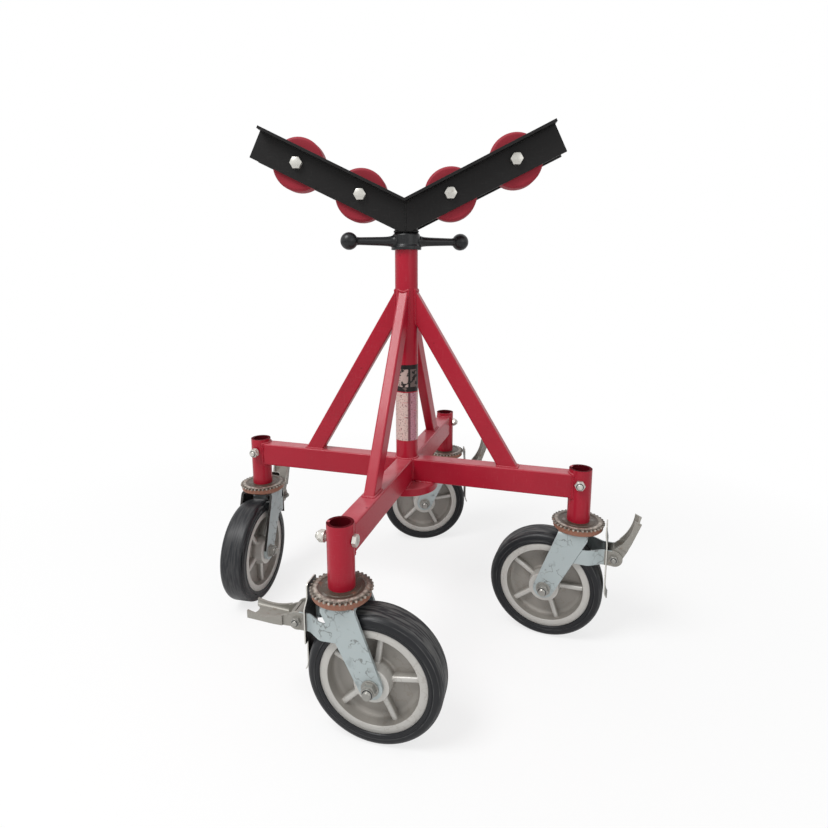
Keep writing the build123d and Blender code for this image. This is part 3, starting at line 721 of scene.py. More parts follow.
def bolt_zinc(tree, surface, share):
    """Zinc of bolts and nuts at a share of its light, with the lock nuts' dark inserts where the mark is
    high."""
    metallic, mark = 0.55, mark_of(tree)
    zinc = ("zinc", share)
    zinc = bare_metal(tree, surface, zinc, metallic, 0.34, "stain", 0.14, 500.0, 0.0001, "rim", 0.4)
    base = blended(tree, mark, zinc, "nylon")
    feed(tree, surface, base_color=base, metallic=stretched(tree, mark, 0, 1, metallic, 0.0))


def plate_zinc(tree, surface):
    """Dull bluish zinc of the caster forks, with faint stains and smudges of grime."""
    dull = ("plate", 0.7)
    plated = bare_metal(tree, surface, "plate", 0.3, 0.48, dull, 0.32, 340.0, 0.0002, "rim", 0.5, 60.0)
    base = blended(tree, effect(tree, "Smudges", scale=42.0, amount=0.6), plated, "grime")
    feed(tree, surface, base_color=base)


def ring_steel(tree, surface):
    """Browned steel of the toothed rings, rubbed bright in patches where the mark is high; that pale steel
    is partly a painted highlight, brightest towards the front.
    """
    stain = ("rust", 0.6)
    browned = bare_metal(tree, surface, "ring", 0.3, 0.42, stain, 0.35, 260.0, 0.0003, "rim", 0.4, 60.0)
    broken = stretched(tree, patches(tree, 190.0, 0.62, 0.12), 0, 1, 0.42, 1.0)
    feed(tree, surface, base_color=blended(tree, times(tree, mark_of(tree), broken), browned, "bright"))


def cast_aluminium(tree, surface):
    """Cast wheel centres: a dull sandy web, and paler ribs, boss and turned rims where the mark is high."""
    mark = mark_of(tree)
    base = layered(
        tree, "aluminium",
        (patches(tree, 55.0, 0.3, 0.25), ("aluminium", 0.72)),
        (mark, "rim"),
        (effect(tree, "Worn edges", radius=0.0012, amount=0.4), "rim"),
        (effect(tree, "Smudges", scale=50.0, amount=0.2), "stain"),
    )
    feed(tree, surface, base_color=base, metallic=0.3, roughness=stretched(tree, mark, 0, 1, 0.52, 0.4))
    grained(tree, surface, 420.0, 0.6, 0.3, 0.0004)


def tyre_rubber(tree, surface, shine, scuffs):
    """Black rubber, clean on the flanks, and scuffed grey in streaks that run round where the mark says
    tread. The two fine lines on each flank, at a partial mark, take that grey as a painted highlight."""
    mark = mark_of(tree)
    flank = blended(tree, patches(tree, 28.0, 0.35, 0.3), "rubber", ("rubber", 1.9))
    way = add(tree, "Attribute", attribute_name="round").outputs["Vector"]
    streak = add(tree, "TexNoise", {"Vector": way, "Scale": 260.0, "Detail": 5.0}).outputs["Fac"]
    worn = stretched(tree, patches(tree, 16.0, 0.45, 0.3), 0, 1, 0.4 * scuffs, scuffs)
    streaks = times(tree, stretched(tree, streak, 0.43, 0.58), worn)
    scuffed = blended(tree, streaks, ("rubber", 1.5), "tread")
    rough = stretched(tree, mark, 0, 1, shine, shine + 0.24)
    base = blended(tree, mark, flank, scuffed)
    feed(tree, surface, base_color=base, roughness=rough, specular_ior_level=0.3)
    grained(tree, surface, 500.0, 0.5, 0.2, 0.0003)


def bands(tree, value, stops):
    """A row of colours along a value of 0 to 1, each from its own place on."""
    ramp = add(tree, "ValToRGB", {"Fac": value})
    ramp.color_ramp.interpolation = "EASE"
    while len(ramp.color_ramp.elements) < len(stops):
        ramp.color_ramp.elements.new(0.5)
    for element, (place, colour) in zip(ramp.color_ramp.elements, stops):
        element.position = place
        element.color = (*shade(colour), 1)
    return ramp.outputs["Color"]


def pale_label(tree, surface):
    """A blank pale label: upright bands along the mark, rubbed through to pink in streaks."""
    worn = patches(tree, 60.0, 0.3, 0.2)
    mauve = [(0.57, "label_mauve"), (0.64, "label_mauve")]
    pink = [(0.68, "label_pink"), (0.9, "label_pink")]
    base = layered(
        tree, bands(tree, mark_of(tree), [(0.0, "label"), (0.52, "label"), *mauve, *pink, (0.95, "label")]),
        (times(tree, worn, 0.5), ("label_pink", 0.8)),
        (effect(tree, "Scratches", amount=0.6), ("red", 1.4)),
        (patches(tree, 420.0, 0.42, 0.12), ("label_mauve", 0.7)),
    )
    feed(tree, surface, base_color=base, roughness=0.4, specular_ior_level=0.2)
    bumped(tree, surface, worn, 0.2, 0.0001)


def dark_label(tree, surface):
    """A blank dark label with a pale field where the mark is high, scuffed."""
    worn, mark = patches(tree, 90.0, 0.3, 0.1), mark_of(tree)
    dark = blended(tree, worn, "label_dark", ("label", 0.3))
    pale = blended(tree, patches(tree, 130.0, 0.5, 0.06), ("label", 0.8), "label_dark")
    rough = stretched(tree, mark, 0, 1, 0.35, 0.5)
    base = blended(tree, mark, dark, pale)
    feed(tree, surface, base_color=base, roughness=rough, specular_ior_level=0.2)
    bumped(tree, surface, worn, 0.2, 0.0001)


def floor_white(tree, surface):
    """A pale matt floor that fades to plain white with distance where the camera sees it, and keeps the
    shadow."""
    stage = bpy.context.scene.jack_stage
    feed(tree, surface, base_color=(*stage.floor, 1), roughness=0.9, specular_ior_level=0.0)
    glow = add(tree, "Emission", {"Color": (1, 1, 1, 1), "Strength": 1.0})
    place = add(tree, "TexCoord").outputs["Object"]
    away = add(tree, "VectorMath", {0: place}, operation="LENGTH").outputs["Value"]
    share = stretched(tree, away, 0.45, 1.3, stage.floor_glow, 1.0)
    seen = times(tree, share, add(tree, "LightPath").outputs["Is Camera Ray"])
    both = add(tree, "MixShader", {0: seen, 1: surface.outputs[0], 2: glow.outputs[0]})
    tree.links.new(both.outputs[0], tree.nodes["Material Output"].inputs["Surface"])


# What mixes each finish, and the values that it takes after the tree and the surface, in its own order
FINISHES = {
    "red_paint": (red_paint,),
    "black_paint": (paint, "black", 0.42, 0.06, linear(90, 90, 92), 0.3, linear(96, 94, 92), 420.0, 0.18),
    "cast_black": (
        paint, "cast_black", 0.3, 0.06, linear(80, 84, 86), 0.5, linear(120, 122, 122), 520.0, 0.35
    ),
    "roller_red": (paint, "roller", 0.5, 0.12, "red_dust", 0.3, "chip", 380.0, 0.15),
    # Dark red inside the socket bores: painted shade.
    "bore_red": (paint, ("red", 0.22), 0.6, 0.0, "red_dust", 0.1, "chip", 260.0, 0.05),
    "dull_steel": (bare_metal, "steel", 0.4, 0.45, ("steel", 0.4), 0.35, 300.0, 0.0002, "plate", 0.6),
    # Dark steel; on the left fork it is painted shade.
    "blade_black": (bare_metal, "blade", 0.2, 0.4, "stain", 0.12, 300.0, 0.0002, "plate", 0.5, 50.0),
    "race_rust": (bare_metal, "rust", 0.25, 0.5, ("rust", 0.5), 0.3, 260.0, 0.0003, "label", 0.6, 80.0),
    "screw_steel": (bare_metal, "screw", 0.9, 0.28, ("screw", 0.4), 0.4, 400.0, 0.0001, "steel", 0.6),
    "brake_casting": (bare_metal, "casting", 0.3, 0.45, "stain", 0.3, 300.0, 0.0004, "rim", 0.6, 45.0),
    "bolt_zinc": (bolt_zinc, 1.0),
    "bolt_dull": (bolt_zinc, 0.5),
    "plate_zinc": (plate_zinc,),
    "ring_steel": (ring_steel,),
    "cast_aluminium": (cast_aluminium,),
    "tyre_rubber": (tyre_rubber, 0.36, 1.0),
    "tyre_shiny": (tyre_rubber, 0.14, 0.35),
    "pale_label": (pale_label,),
    "dark_label": (dark_label,),
    "floor_white": (floor_white,),
}


def finish(name):
    """The stand's finish of that name, mixed the first time that it is asked for."""
    own = f"{name}_finish"
    material = bpy.data.materials.get(own)
    if material is None:
        material = bpy.data.materials.new(own)
        material.use_nodes = True
        mix, *values = FINISHES[name]
        mix(material.node_tree, material.node_tree.nodes["Principled BSDF"], *values)
    return material


# Pieces


def brace_upper(x):
    """The height of a brace's upper face: it rises at the brace's angle from its toe on the leg."""
    return LEG_TOP + (BRACE_RUN - x) * np.tan(BRACE_ANGLE)


def seam_round(radius, half, top, bottom):
    """A closed seam where a bar meets an upright tube: x = r cos a along its top and back along its foot."""
    y = np.linspace(-half, half, 11)
    x = radius * np.sqrt(1 - (y / radius) ** 2)
    over, under = (np.stack([x, y, height(x) + 0 * x], -1) for height in (top, bottom))
    return np.vstack([over, under[::-1]])


def frame_beads():
    """The frame's weld beads: each one's place and path, and for an open path the direction beside it."""
    yield bead(UPRIGHT, lathe([(POST_RADIUS, LEG_TOP)], 60, "Z")[0])
    corner, rim = LEG_HALF + 0.2, HUB_RADIUS - 4
    heel = BRACE_RUN - BRACE_DEPTH / np.sin(BRACE_ANGLE)
    brace_drop = BRACE_DEPTH / np.cos(BRACE_ANGLE)
    brace = seam_round(POST_RADIUS, BRACE_HALF, brace_upper, lambda x: brace_upper(x) - brace_drop)
    socket = seam_round(SOCKET_RADIUS, LEG_HALF, lambda x: LEG_TOP, lambda x: LEG_LOW)
    socket = socket * [-1, 1, 1] + [REACH, 0, 0]
    ends = ((heel, -BRACE_HALF), (BRACE_RUN, -BRACE_HALF), (BRACE_RUN, BRACE_HALF), (heel, BRACE_HALF))
    for place in map(leg_place, SIDES):
        yield bead(place, [(corner, corner, LEG_LOW), (corner, corner, LEG_TOP)], False, (1, 0, 0))
        for path in (brace, [(*end, LEG_TOP) for end in ends], socket):
            yield bead(place, path)
        for edge in (-LEG_HALF, LEG_HALF):
            yield bead(place, [(POST_RADIUS, edge, LEG_LOW), (rim, edge, LEG_LOW)], False, (0, 0, 1))


# Bolts: diameter, width over flats, head, nut, how far the end stands out, and pitch
BOLTS = {
    "socket": (10.0, 16.0, 6.4, 8.4, 3.0, 1.5),
    "axle": (12.7, 19.0, 8.0, 11.0, 5.0, 1.95),
    "pivot": (8.0, 13.0, 5.5, 6.5, 3.0, 1.25),
    "roller": (12.7, 19.0, 8.0, 11.0, 4.0, 1.95),
}


def hexagon_bolt(kind, low, high, place):
    """The shells of a hexagon bolt along Y, its head on the face at high and its lock nut on the face at
    low. The nut ends in a round collar with a dark insert round the bolt's end, which is marked."""
    diameter, flats, head, nut, tail, pitch = BOLTS[kind]
    end = low - nut
    grids = [
        hexagon(flats, high, high + head),
        disc(0.47 * flats, high, high + 0.6, 0.2, 3),
        shank(diameter / 2, end - tail, high, pitch),
        hexagon(flats, low, low - nut * 0.72),
        disc(0.45 * flats, end, low - nut * 0.6, 0.6, 5),
    ]
    insert = disc(0.405 * flats, end - 0.12, end + 0.3, 0.1, 3)
    return [shell(grid, place) for grid in grids] + [shell(insert, place, 1.0)]


class PieceOperator:
    """What the operators that make pieces share."""

    bl_options = {"REGISTER", "UNDO"}


class JACK_OT_finish_packed(PieceOperator, bpy.types.Operator):
    """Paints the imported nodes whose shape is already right"""

    bl_idname = "jack.finish_packed"
    bl_label = "Painted frame"

    def execute(self, context):
        kept = {"post": "red_paint", "hub_plate": "red_paint", "caster_stems": "dull_steel"}
        kept["head_socket"] = "black_paint"
        kept.update({f"{bar}_{side}": "red_paint" for bar in ("leg", "brace") for side in SIDES})
        for name, coat in kept.items():
            nodes[name].data.materials.clear()
            nodes[name].data.materials.append(finish(coat))
        edge = size_mm("plate_edge")
        for side in SIDES:
            socket = eased(f"socket_{side}", edge, "red_paint")
            x, y, z = face_centres(socket, side)[0].T
            # The bore's inner faces take the dark red of painted shade.
            add_finish(socket, "bore_red", np.hypot(x, y) < SOCKET_RADIUS - SOCKET_WALL)
        for name in ("arm_front_right", "arm_rear_right", "arm_front_left", "arm_rear_left"):
            eased(name, edge, "black_paint")
        return {"FINISHED"}


class JACK_OT_welds(PieceOperator, bpy.types.Operator):
    """Lays the weld beads of the frame and of the V head"""

    bl_idname = "jack.welds"
    bl_label = "Welds"

    def execute(self, context):
        make_piece("frame_welds", list(frame_beads()), "frame", "red_paint", crease=60)
        shells = []
        for face in (-ARM_FACE, ARM_FACE):
            seam = [(0, face, HEAD_LOW), (0, face, HEAD_LOW + HEAD_SEAM)]
            shells.append(bead(HEAD_PLACE, seam, False, (0, 1, 0), 0.7))
        foot = lathe([(HEAD_SOCKET_RADIUS, HEAD_LOW + 0.6)], 48, "Z")[0]
        shells.append(bead(HEAD_PLACE, foot, share=0.8))
        make_piece("head_welds", shells, "head", "black_paint", crease=60)
        return {"FINISHED"}


class JACK_OT_tyres(PieceOperator, bpy.types.Operator):
    """Turns the four tyres: each shoulder is a quarter of an ellipse, and each flank has two fine pale
    lines of painted highlight"""

    bl_idname = "jack.tyres"
    bl_label = "Tyres"

    def execute(self, context):
        rim, flank, tread, width, flat = 81.1, 91.6, 101.6, 25.4, 14.0
        groove, highlight_radius_one, highlight_radius_two = rim + 5.9, 88.9, 96.8
        beside = np.array([-0.7, -0.35, 0.35, 0.7])
        inner = [(rim, 23.2), (rim + 1.2, width - 0.4), (rim + 3.4, width)]
        dip = [(groove - 0.7, width), (groove, width - 0.8), (groove + 0.7, width)]
        side = rounded(inner + dip + [(step, width) for step in (*(highlight_radius_one + beside), flank)], 0.3, 3)
        rise = tread - flank
        fine = np.arcsin((highlight_radius_two + beside - flank) / rise)
        turn = np.unique(np.r_[np.linspace(0, np.pi / 2, 14), fine])
        shoulder = np.stack([flank + rise * np.sin(turn), flat + (width - flat) * np.cos(turn)], -1)
        half = np.vstack([side[:-1], shoulder])
        profile = np.vstack([half, half[::-1] * [1, -1]])
        reach = profile[:, :1]
        # The two fine flank lines get a partial mark, which paints them pale as a highlight.
        line = (np.abs(reach - highlight_radius_one) < 0.5) | (np.abs(reach - highlight_radius_two) < 0.5)
        mark = np.maximum(np.clip((reach - tread + 2.0) / 1.6, 0, 1), 0.55 * line)
        for name in SIDES:
            tyre, (origin, axes) = f"tyre_{name}", joint_place(f"{name}_wheel_roll")
            shells = [shell(lathe(profile, 180), (origin, axes), mark, True)]
            coat = "tyre_shiny" if name == "left" else "tyre_rubber"
            mesh = make_piece(f"{tyre}_rubber", shells, f"wheel_{name}", "tyre", coat, 50, tyre).data
            x, y, z = ((read(mesh.vertices, "co") / MM - origin) @ axes.T).T
            away = np.hypot(x, z)
            path = np.stack([x / away * 12, y + away, z / away * 12], -1) * MM
            write(mesh, "round", "FLOAT_VECTOR", "vector", path)
        return {"FINISHED"}


def wheel_half(turn):
    """One side of a cast wheel centre as rows from the bore to the rim: radius, angle, height and mark.
    Its height over the middle plane is a soft maximum of a turned profile h(r) and five ribs with rounded
    edges."""
    bore, boss, web, rim_top, rib_top, rib_half, rounding, soft = 6.4, 29.7, 5.0, 23.4, 16.0, 4.5, 3.5, 2.2
    outline = [(bore, boss), (26.5, boss), (29.0, web), (66.0, web), (69.0, rim_top), (80.6, rim_top)]
    profile = rounded(outline, [1.5, 3.5, 7.0, 1.0], 6)
    finer = [np.linspace(29, 65, 12), np.linspace(65.4, 69.4, 9), np.linspace(26.4, 29.4, 7), [7.5, 12, 20]]
    radius = np.unique(np.round(np.concatenate([profile[:, 0], *finer]), 2))[:, None]
    turned = np.interp(radius, profile[:, 0], profile[:, 1])
    offsets = np.array([0, 1.0, 1.9, 2.7, 3.4, 3.95, 4.3, 4.5, 4.62, 5.4, 7.2])
    narrowest, sunk, spoke_end, pale_from, pale_rise = 24.0, 50, 67, 11.0, 3.0
    near = np.arcsin(offsets / np.maximum(radius, narrowest))
    share = np.linspace(0, 1, 9)[1:]
    sector = np.pi / 5
    half = np.hstack([near, near[:, -1:] + (sector - near[:, -1:]) * share])
    angles = np.hstack([-half[:, :0:-1], half[:, :-1]])
    across = np.hstack([offsets, offsets[-1] + share * 20])
    across = np.hstack([across[:0:-1], across[:-1]])
    turned_in = np.clip(across - rib_half + rounding, 0, rounding)
    rib = rib_top - rounding + np.sqrt(rounding**2 - turned_in**2) - sunk * (across > rib_half + 0.1)
    height = np.hstack([np.maximum(turned, rib) + soft_top(turned, rib, soft)] * 5)
    angle = np.hstack([angles + sector * 2 * number for number in range(5)]) + np.radians(turn)
    radius = np.broadcast_to(radius, angle.shape)
    rim_mark = 0.9 * ((height > rim_top - 0.5) & (radius > spoke_end))
    rib_mark = np.clip((height - pale_from) / pale_rise, 0, 1) * (radius < spoke_end)
    return radius, angle, height, np.maximum(rim_mark, rib_mark)


class JACK_OT_wheel_centres(PieceOperator, bpy.types.Operator):
    """Shapes the four cast wheel centres with soft fillets round their ribs"""

    bl_idname = "jack.wheel_centres"
    bl_label = "Wheel centres"

    def execute(self, context):
        edge_radius, edge_half, other_side = 81.0, 22.9, [1, -1, 1]
        for name in SIDES:
            radius, angle, height, mark = wheel_half(RIB_TURNS[name])
            face = around(radius, height, angle)
            outer = unit(face[-1:] * [1, 0, 1]) * edge_radius + [0, edge_half, 0]
            rows = np.vstack([face, outer, outer * other_side, face[::-1] * other_side])
            marks = np.vstack([mark, mark[-1:], mark[-1:], mark[::-1]])
            shells = [shell(rows, joint_place(f"{name}_wheel_roll"), marks, True)]
            centre = f"wheel_centre_{name}"
            make_piece(f"{centre}_cast", shells, f"wheel_{name}", "cast_aluminium", None, 60, centre)
        return {"FINISHED"}


class JACK_OT_swivel_rings(PieceOperator, bpy.types.Operator):
    """Shapes the four toothed rings under the sockets: each tooth is a smooth step tanh(cos(36 a)) of the
    angle"""

    bl_idname = "jack.swivel_rings"
    bl_label = "Swivel rings"

    def execute(self, context):
        teeth, low, high = 36, SOCKET_LOW - 4.0, SOCKET_LOW
        tip, root, crest, land, bore = 46.45, 42.0, 38.4, 29.0, 15.4
        foot = low + 0.05
        edge = [(bore, foot), (tip, foot), (tip, high - 1.5), (45.6, high - 1.0), (42.8, high - 1.1)]
        ridge = [(41.6, high - 0.3), (crest, high - 0.02), (35.4, high - 0.3), (34.2, high - 1.2)]
        inner = [(land + 0.4, high - 1.2), (land, high - 0.05), (bore, high - 0.05)]
        profile = rounded(edge + ridge + inner, 0.5, 4)
        angle = ring_angles(teeth * 12)
        tooth = 0.5 + 0.5 * np.tanh(2.6 * np.cos(teeth * angle) - 0.3)
        grid = lathe(profile, len(angle), "Z")
        radius, height = profile.T[..., None]
        reach = np.clip((radius - root) / (tip - root), 0, 1)
        grid[..., :2] *= (1 - reach * (1 - tooth) * (tip - root) / tip)[..., None]
        crest_half = 3.2
        # Pale steel on the ridge and tooth tips, partly rubbed wear and partly a painted highlight; the last
        # factor brightens them towards -Y, the front, as painted highlight only.
        rubbed = np.exp(-(((radius - crest) / crest_half) ** 4)) * (height > low + 1)
        marks = np.maximum(rubbed, 0.9 * reach * tooth) * (0.62 + 0.38 * -np.sin(angle))
        shells = [shell(grid, (caster_place(side)[0], np.eye(3)), marks, True) for side in SIDES]
        make_piece("swivel_rings_worn", shells, "frame", "worn_steel", "ring_steel", 45, "swivel_rings")
        return {"FINISHED"}


class JACK_OT_forks(PieceOperator, bpy.types.Operator):
    """Rounds the edges of the forks, their brake brackets, pedals and blades"""

    bl_idname = "jack.forks"
    bl_label = "Forks and brakes"

    def execute(self, context):
        edge, cheek, gap, ear, flat, race = size_mm("plate_edge"), 28.0, 12.0, 53.0, 0.35, (40.0, 44.0)
        for side in SIDES:
            fork = eased(f"fork_{side}", edge, "zinc_plate", "plate_zinc")
            centres, normals = face_centres(fork, side)
            x, y, z = centres.T
            away = np.hypot(x, y)
            lower = (z > PLATE_TOP - RACE_DEPTH) & (away > race[0]) & (away < race[1])
            add_finish(fork, "race_rust", (z > PLATE_TOP + 0.1) | lower)
            # On the left caster the far leg and the edge faces across the middle, below the plate, take dark
            # steel as painted shade.
            if side == "left":
                edges = (np.abs(normals[:, 0]) > 0.5) & (np.abs(y) < gap)
                add_finish(fork, "blade_black", ((y < -cheek) | edges) & (z < PLATE_TOP))
            bracket = eased(f"bracket_{side}", edge * 0.7, "zinc_plate", "plate_zinc")
            add_finish(bracket, "brake_casting", face_centres(bracket, side)[0][:, 0] < -ear)
            eased(f"pedal_{side}", size_mm("cast_edge"), "brake_casting", steps=3)
            # The front and left blades take the dark steel, the right and back ones dull steel.
            coat = "blade_black" if side in ("front", "left") else "dull_steel"
            blade = eased(f"blade_{side}", edge * 0.5, "dull_steel", coat)
            add_finish(blade, "bolt_zinc", np.abs(face_centres(blade, side)[1][:, 0]) < flat)
        return {"FINISHED"}


class JACK_OT_bolts(PieceOperator, bpy.types.Operator):
    """Makes the bolts, nuts and washers of the sockets, casters and rollers"""

    bl_idname = "jack.bolts"
    bl_label = "Bolts"

    def execute(self, context):
        below_top, gap, washer, thick = 25.0, 6.5, 9.0, 3.0
        shells = []
        for side in SIDES:
            place = shifted(leg_place(side), (REACH, 0, SOCKET_TOP - below_top))
            if side == "left":
                place = turned_round(place)
            loose = side in ("front", "left")
            low = -SOCKET_RADIUS - (gap if loose else 0.0)
            shells += hexagon_bolt("socket", low, SOCKET_RADIUS, place)
            if loose:
                shells.append(shell(disc(washer, low, low + thick), place))
        make_piece("socket_bolts_zinc", shells, "frame", "zinc", "bolt_zinc", replaced="socket_bolts")
        low, axle_washer = -FORK_FACE - AXLE_WASHER, 13.0
        for side in SIDES:
            axle, pivot = joint_place(f"{side}_wheel_roll"), joint_place(f"{side}_pedal_turn")
            if side != "front":
                axle, pivot = turned_round(axle), turned_round(pivot)
            shells = hexagon_bolt("axle", low, FORK_FACE, axle)
            shells.append(shell(disc(axle_washer, low, -FORK_FACE), axle))
            shells += hexagon_bolt("pivot", -EAR_FACE, EAR_FACE, pivot)
            bolts = f"caster_bolts_{side}"
            make_piece(f"{bolts}_zinc", shells, f"fork_{side}", "zinc", "bolt_dull", replaced=bolts)
        shells = []
        for name in ROLLERS:
            place = turned_round(joint_place(f"{name}_roll"))
            shells += hexagon_bolt("roller", -ROLLER_FACE, ROLLER_FACE, place)
        make_piece("roller_bolts_zinc", shells, "head", "zinc", "bolt_zinc", replaced="roller_bolts")
        return {"FINISHED"}


class JACK_OT_rollers(PieceOperator, bpy.types.Operator):
    """Turns the four rollers with rounded treads and sunk faces"""

    bl_idname = "jack.rollers"
    bl_label = "Rollers"

    def execute(self, context):
        bore, hub, web, face, tread = 6.45, 20.9, 14.0, 19.0, 47.0
        sunk = [(bore, hub), (17.0, hub), (17.6, web), (21.4, web), (22.0, face), (43.0, face)]
        half = rounded([*sunk, (tread, 15.0), (tread, 0)], [0.8, 1.0, 1.0, 0.8, 2.0, 2.0])
        profile = np.vstack([half, half[::-1] * [1, -1]])
        for name in ROLLERS:
            roller = f"roller_{name}"
            shells = [shell(lathe(profile, 120), joint_place(f"{name}_roll"), closed_rows=True)]
            make_piece(f"{roller}_red", shells, roller, "roller_red", None, 50, roller)
        return {"FINISHED"}


class JACK_OT_hand_nut(PieceOperator, bpy.types.Operator):
    """Shapes the two-ball hand nut: a turned hub, and two arms whose radius is a soft maximum of a taper
    and a ball"""

    bl_idname = "jack.hand_nut"
    bl_label = "Hand nut"

    def execute(self, context):
        bore, skirt, skirt_bore = 15.95, 27.5, 21.5
        low, seat, arm_height = POST_TOP - 4.0, POST_TOP + 0.35, POST_TOP + 10.9
        upper = [(bore, NUT_TOP), (21.6, NUT_TOP), (25.0, NUT_TOP - 3.4), (24.6, POST_TOP + 5.4)]
        lower = [(skirt, POST_TOP + 2.0), (skirt, low), (skirt_bore, low), (skirt_bore, seat), (bore, seat)]
        hub = rounded(upper + lower, [1.2, 2.0, 4.0, 1.6, 0.8, 0.6, 0.6])
        shells = [shell(lathe(hub, 96, "Z"), UPRIGHT, closed_rows=True)]
        reach, ball, thin, hub_edge, yaw = 106.5, 15.5, 6.75, 24, np.radians(35.0)
        s = np.r_[np.linspace(14, 88, 38), reach - ball * np.cos(np.linspace(0.45, np.pi, 30))]
        flare = 4.2 * np.exp(-np.clip(s - hub_edge, 0, None) / 5.5)
        arm = thin + 1.35 * np.clip((91 - s) / 54, 0, 1) + flare
        sphere = np.sqrt(np.clip(ball**2 - (s - reach) ** 2, 0, None))
        radius = np.maximum(arm * (s < reach), sphere) + soft_top(arm, sphere, 2.5) * (s < reach)
        radius[0], radius[-1] = 0, 0
        for half_turn in (0, np.pi):
            place = (AXIS + [0, 0, arm_height], turned_axes(yaw + half_turn))
            shells.append(shell(lathe(np.stack([radius, s], -1), 40, "X"), place))
        make_piece("hand_nut_cast", shells, "hand_nut", "black_casting", "cast_black", 50, "hand_nut")
        return {"FINISHED"}


class JACK_OT_screw(PieceOperator, bpy.types.Operator):
    """Cuts the lifting screw's thread: the radius falls by a trapezium of the height over the lead less
    the angle"""

    bl_idname = "jack.screw"
    bl_label = "Lifting screw"

    def execute(self, context):
        outer, foot_radius, neck, tip, spigot = 15.875, 13.5, 12.0, 11.0, 36
        low, high = box_mm("screw")[0][2], HEAD_LOW - 0.3
        lead, depth = size_mm("thread_lead"), size_mm("thread_depth")
        angle = ring_angles(40)
        height = np.linspace(low + 2, high - 5, int((high - low - 7) / lead * 12))[:, None]
        phase = np.mod(height / lead - angle / (2 * np.pi), 1)
        cut = np.clip((0.36 - np.abs(phase - 0.5)) / 0.14, 0, 1)
        rows = around(outer - depth * cut, height, angle, "Z")
        foot = lathe([(0, low), (foot_radius, low)], 40, "Z")
        top = [(outer, high - 4.5), (outer, high), (neck, high), (neck, high + spigot - 6)]
        top = lathe([*top, (tip, high + spigot), (0, high + spigot)], 40, "Z")
        shells = [shell(np.vstack([foot, rows, top]), UPRIGHT)]
        make_piece("screw_threaded", shells, "screw", "screw_steel", None, 30, "screw")
        return {"FINISHED"}


class JACK_OT_labels(PieceOperator, bpy.types.Operator):
    """Wraps a blank dark label and a blank pale label round the post's near side"""

    bl_idname = "jack.labels"
    bl_label = "Blank labels"

    def execute(self, context):
        radius = POST_RADIUS + size_mm("label_lift")
        middle = np.radians(-73.0)
        for name, low, high, spread in (("pale_label", 356, 449.5, 95), ("dark_label", 451.5, 502.5, 80)):
            angle = middle + np.radians(np.linspace(-spread, spread, 129))
            height = np.linspace(low, high, 65)[:, None]
            marks = across = 0.5 + 0.5 * np.sin(angle - middle)
            if name == "dark_label":
                pale, faint = (across > 0.08) & (across < 0.56), (across > 0.66) & (across < 0.93)
                marks = ((height > low + 9) & (height < high - 8)) * (0.95 * pale + 0.3 * faint)
            shells = [shell(around(radius, height, angle, "Z"), UPRIGHT, marks, closed_columns=False)]
            make_piece(name, shells, "frame", "red_paint", name)
        return {"FINISHED"}


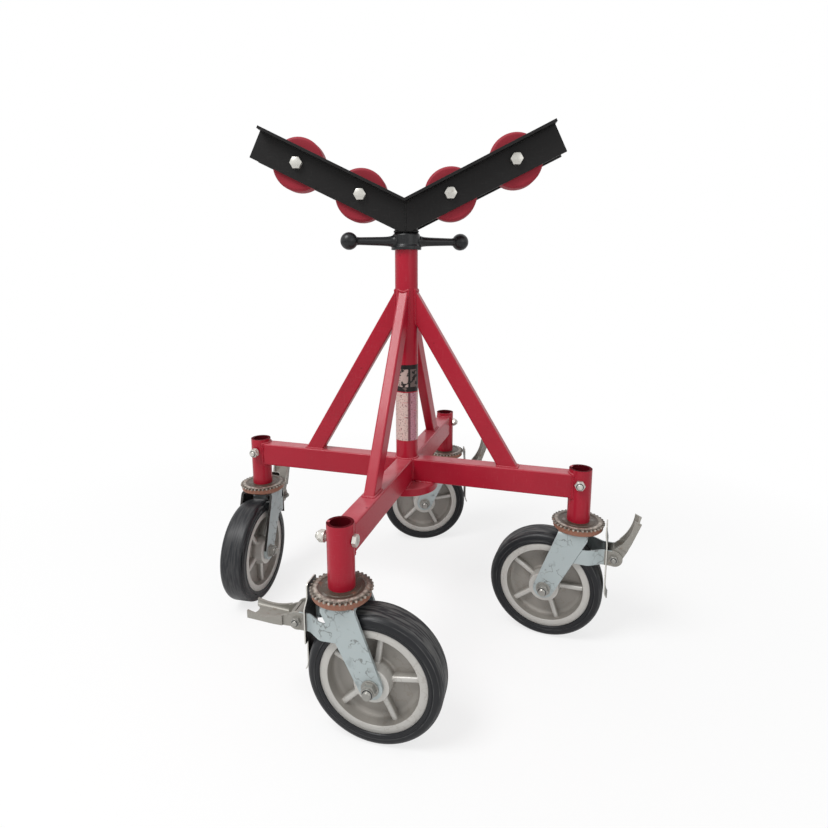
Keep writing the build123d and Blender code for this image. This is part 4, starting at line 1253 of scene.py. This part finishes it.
class JACK_OT_stage(bpy.types.Operator):
    """Sets the floor, the lights and the camera"""

    bl_idname = "jack.stage"
    bl_label = "Stage"

    def execute(self, context):
        scene, stage, half = context.scene, context.scene.jack_stage, 30.0
        mesh = bpy.data.meshes.new("floor")
        corners = [(-half, -half, 0), (half, -half, 0), (half, half, 0), (-half, half, 0)]
        mesh.from_pydata(corners, [], [(0, 1, 2, 3)])
        mesh.materials.append(finish("floor_white"))
        linked("floor", mesh)
        scene.world = bpy.data.worlds.new("studio")
        scene.world.use_nodes = True
        tree = scene.world.node_tree
        sky = tree.nodes["Background"]
        sky.inputs["Color"].default_value = (1, 1, 1, 1)
        rays = add(tree, "LightPath").outputs
        some = maths(tree, "MAXIMUM", rays["Is Camera Ray"], rays["Is Glossy Ray"])
        some = maths(tree, "MAXIMUM", some, rays["Is Transmission Ray"])
        tree.links.new(stretched(tree, some, 0, 1, stage.sky, 1.0), sky.inputs["Strength"])
        aim = Vector((0, 0, 0.45))
        for name, place, power, size in (
            ("key", (-1.0, -1.6, 2.9), stage.key, 1.3),
            ("fill", (2.2, -1.6, 1.4), stage.fill, 1.6),
        ):
            lamp = bpy.data.lights.new(name, "AREA")
            lamp.energy, lamp.size = power, size
            lit = linked(name, lamp)
            lit.location = place
            lit.rotation_euler = (aim - Vector(place)).to_track_quat("-Z", "Y").to_euler()
        lens = bpy.data.cameras.new("photograph")
        lens.sensor_width, lens.lens = 36.0, stage.lens
        lens.shift_x, lens.shift_y = stage.shift
        lens.clip_start, lens.clip_end = 0.05, 100
        camera = scene.camera = linked("photograph", lens)
        pitch, roll, heading = stage.camera_turn
        turn = Euler((pitch, 0, heading)).to_matrix() @ Matrix.Rotation(roll, 3, "Z")
        camera.matrix_world = Matrix.Translation(stage.camera_place) @ turn.to_4x4()
        scene.view_settings.view_transform = "Standard"
        return {"FINISHED"}


class JACK_PT_panel(bpy.types.Panel):
    """The stand's pieces, one button each"""

    bl_idname = "JACK_PT_panel"
    bl_label = "Jack Stand"
    bl_space_type = "VIEW_3D"
    bl_region_type = "UI"
    bl_category = "Jack Stand"

    def draw(self, context):
        for operator in OPERATORS:
            self.layout.operator(operator.bl_idname)
        for name, group in SETTINGS.items():
            box = self.layout.box()
            for choice in group.__annotations__:
                box.prop(getattr(context.scene, name), choice)


OPERATORS = (
    JACK_OT_finish_packed,
    JACK_OT_welds,
    JACK_OT_labels,
    JACK_OT_hand_nut,
    JACK_OT_screw,
    JACK_OT_rollers,
    JACK_OT_swivel_rings,
    JACK_OT_forks,
    JACK_OT_wheel_centres,
    JACK_OT_tyres,
    JACK_OT_bolts,
    JACK_OT_stage,
)
CLASSES = (*SETTINGS.values(), *OPERATORS, JACK_PT_panel)


def register():
    """Registers the property groups, the operators and the panel."""
    for made in CLASSES:
        bpy.utils.register_class(made)
    for name, group in SETTINGS.items():
        setattr(bpy.types.Scene, name, bpy.props.PointerProperty(type=group))


def unregister():
    """Takes away what register added."""
    for name in SETTINGS:
        delattr(bpy.types.Scene, name)
    for made in reversed(CLASSES):
        bpy.utils.unregister_class(made)


def main():
    register()
    for operator in OPERATORS:
        category, name = operator.bl_idname.split(".")
        getattr(getattr(bpy.ops, category), name)()


if __name__ == "__main__":
    main()
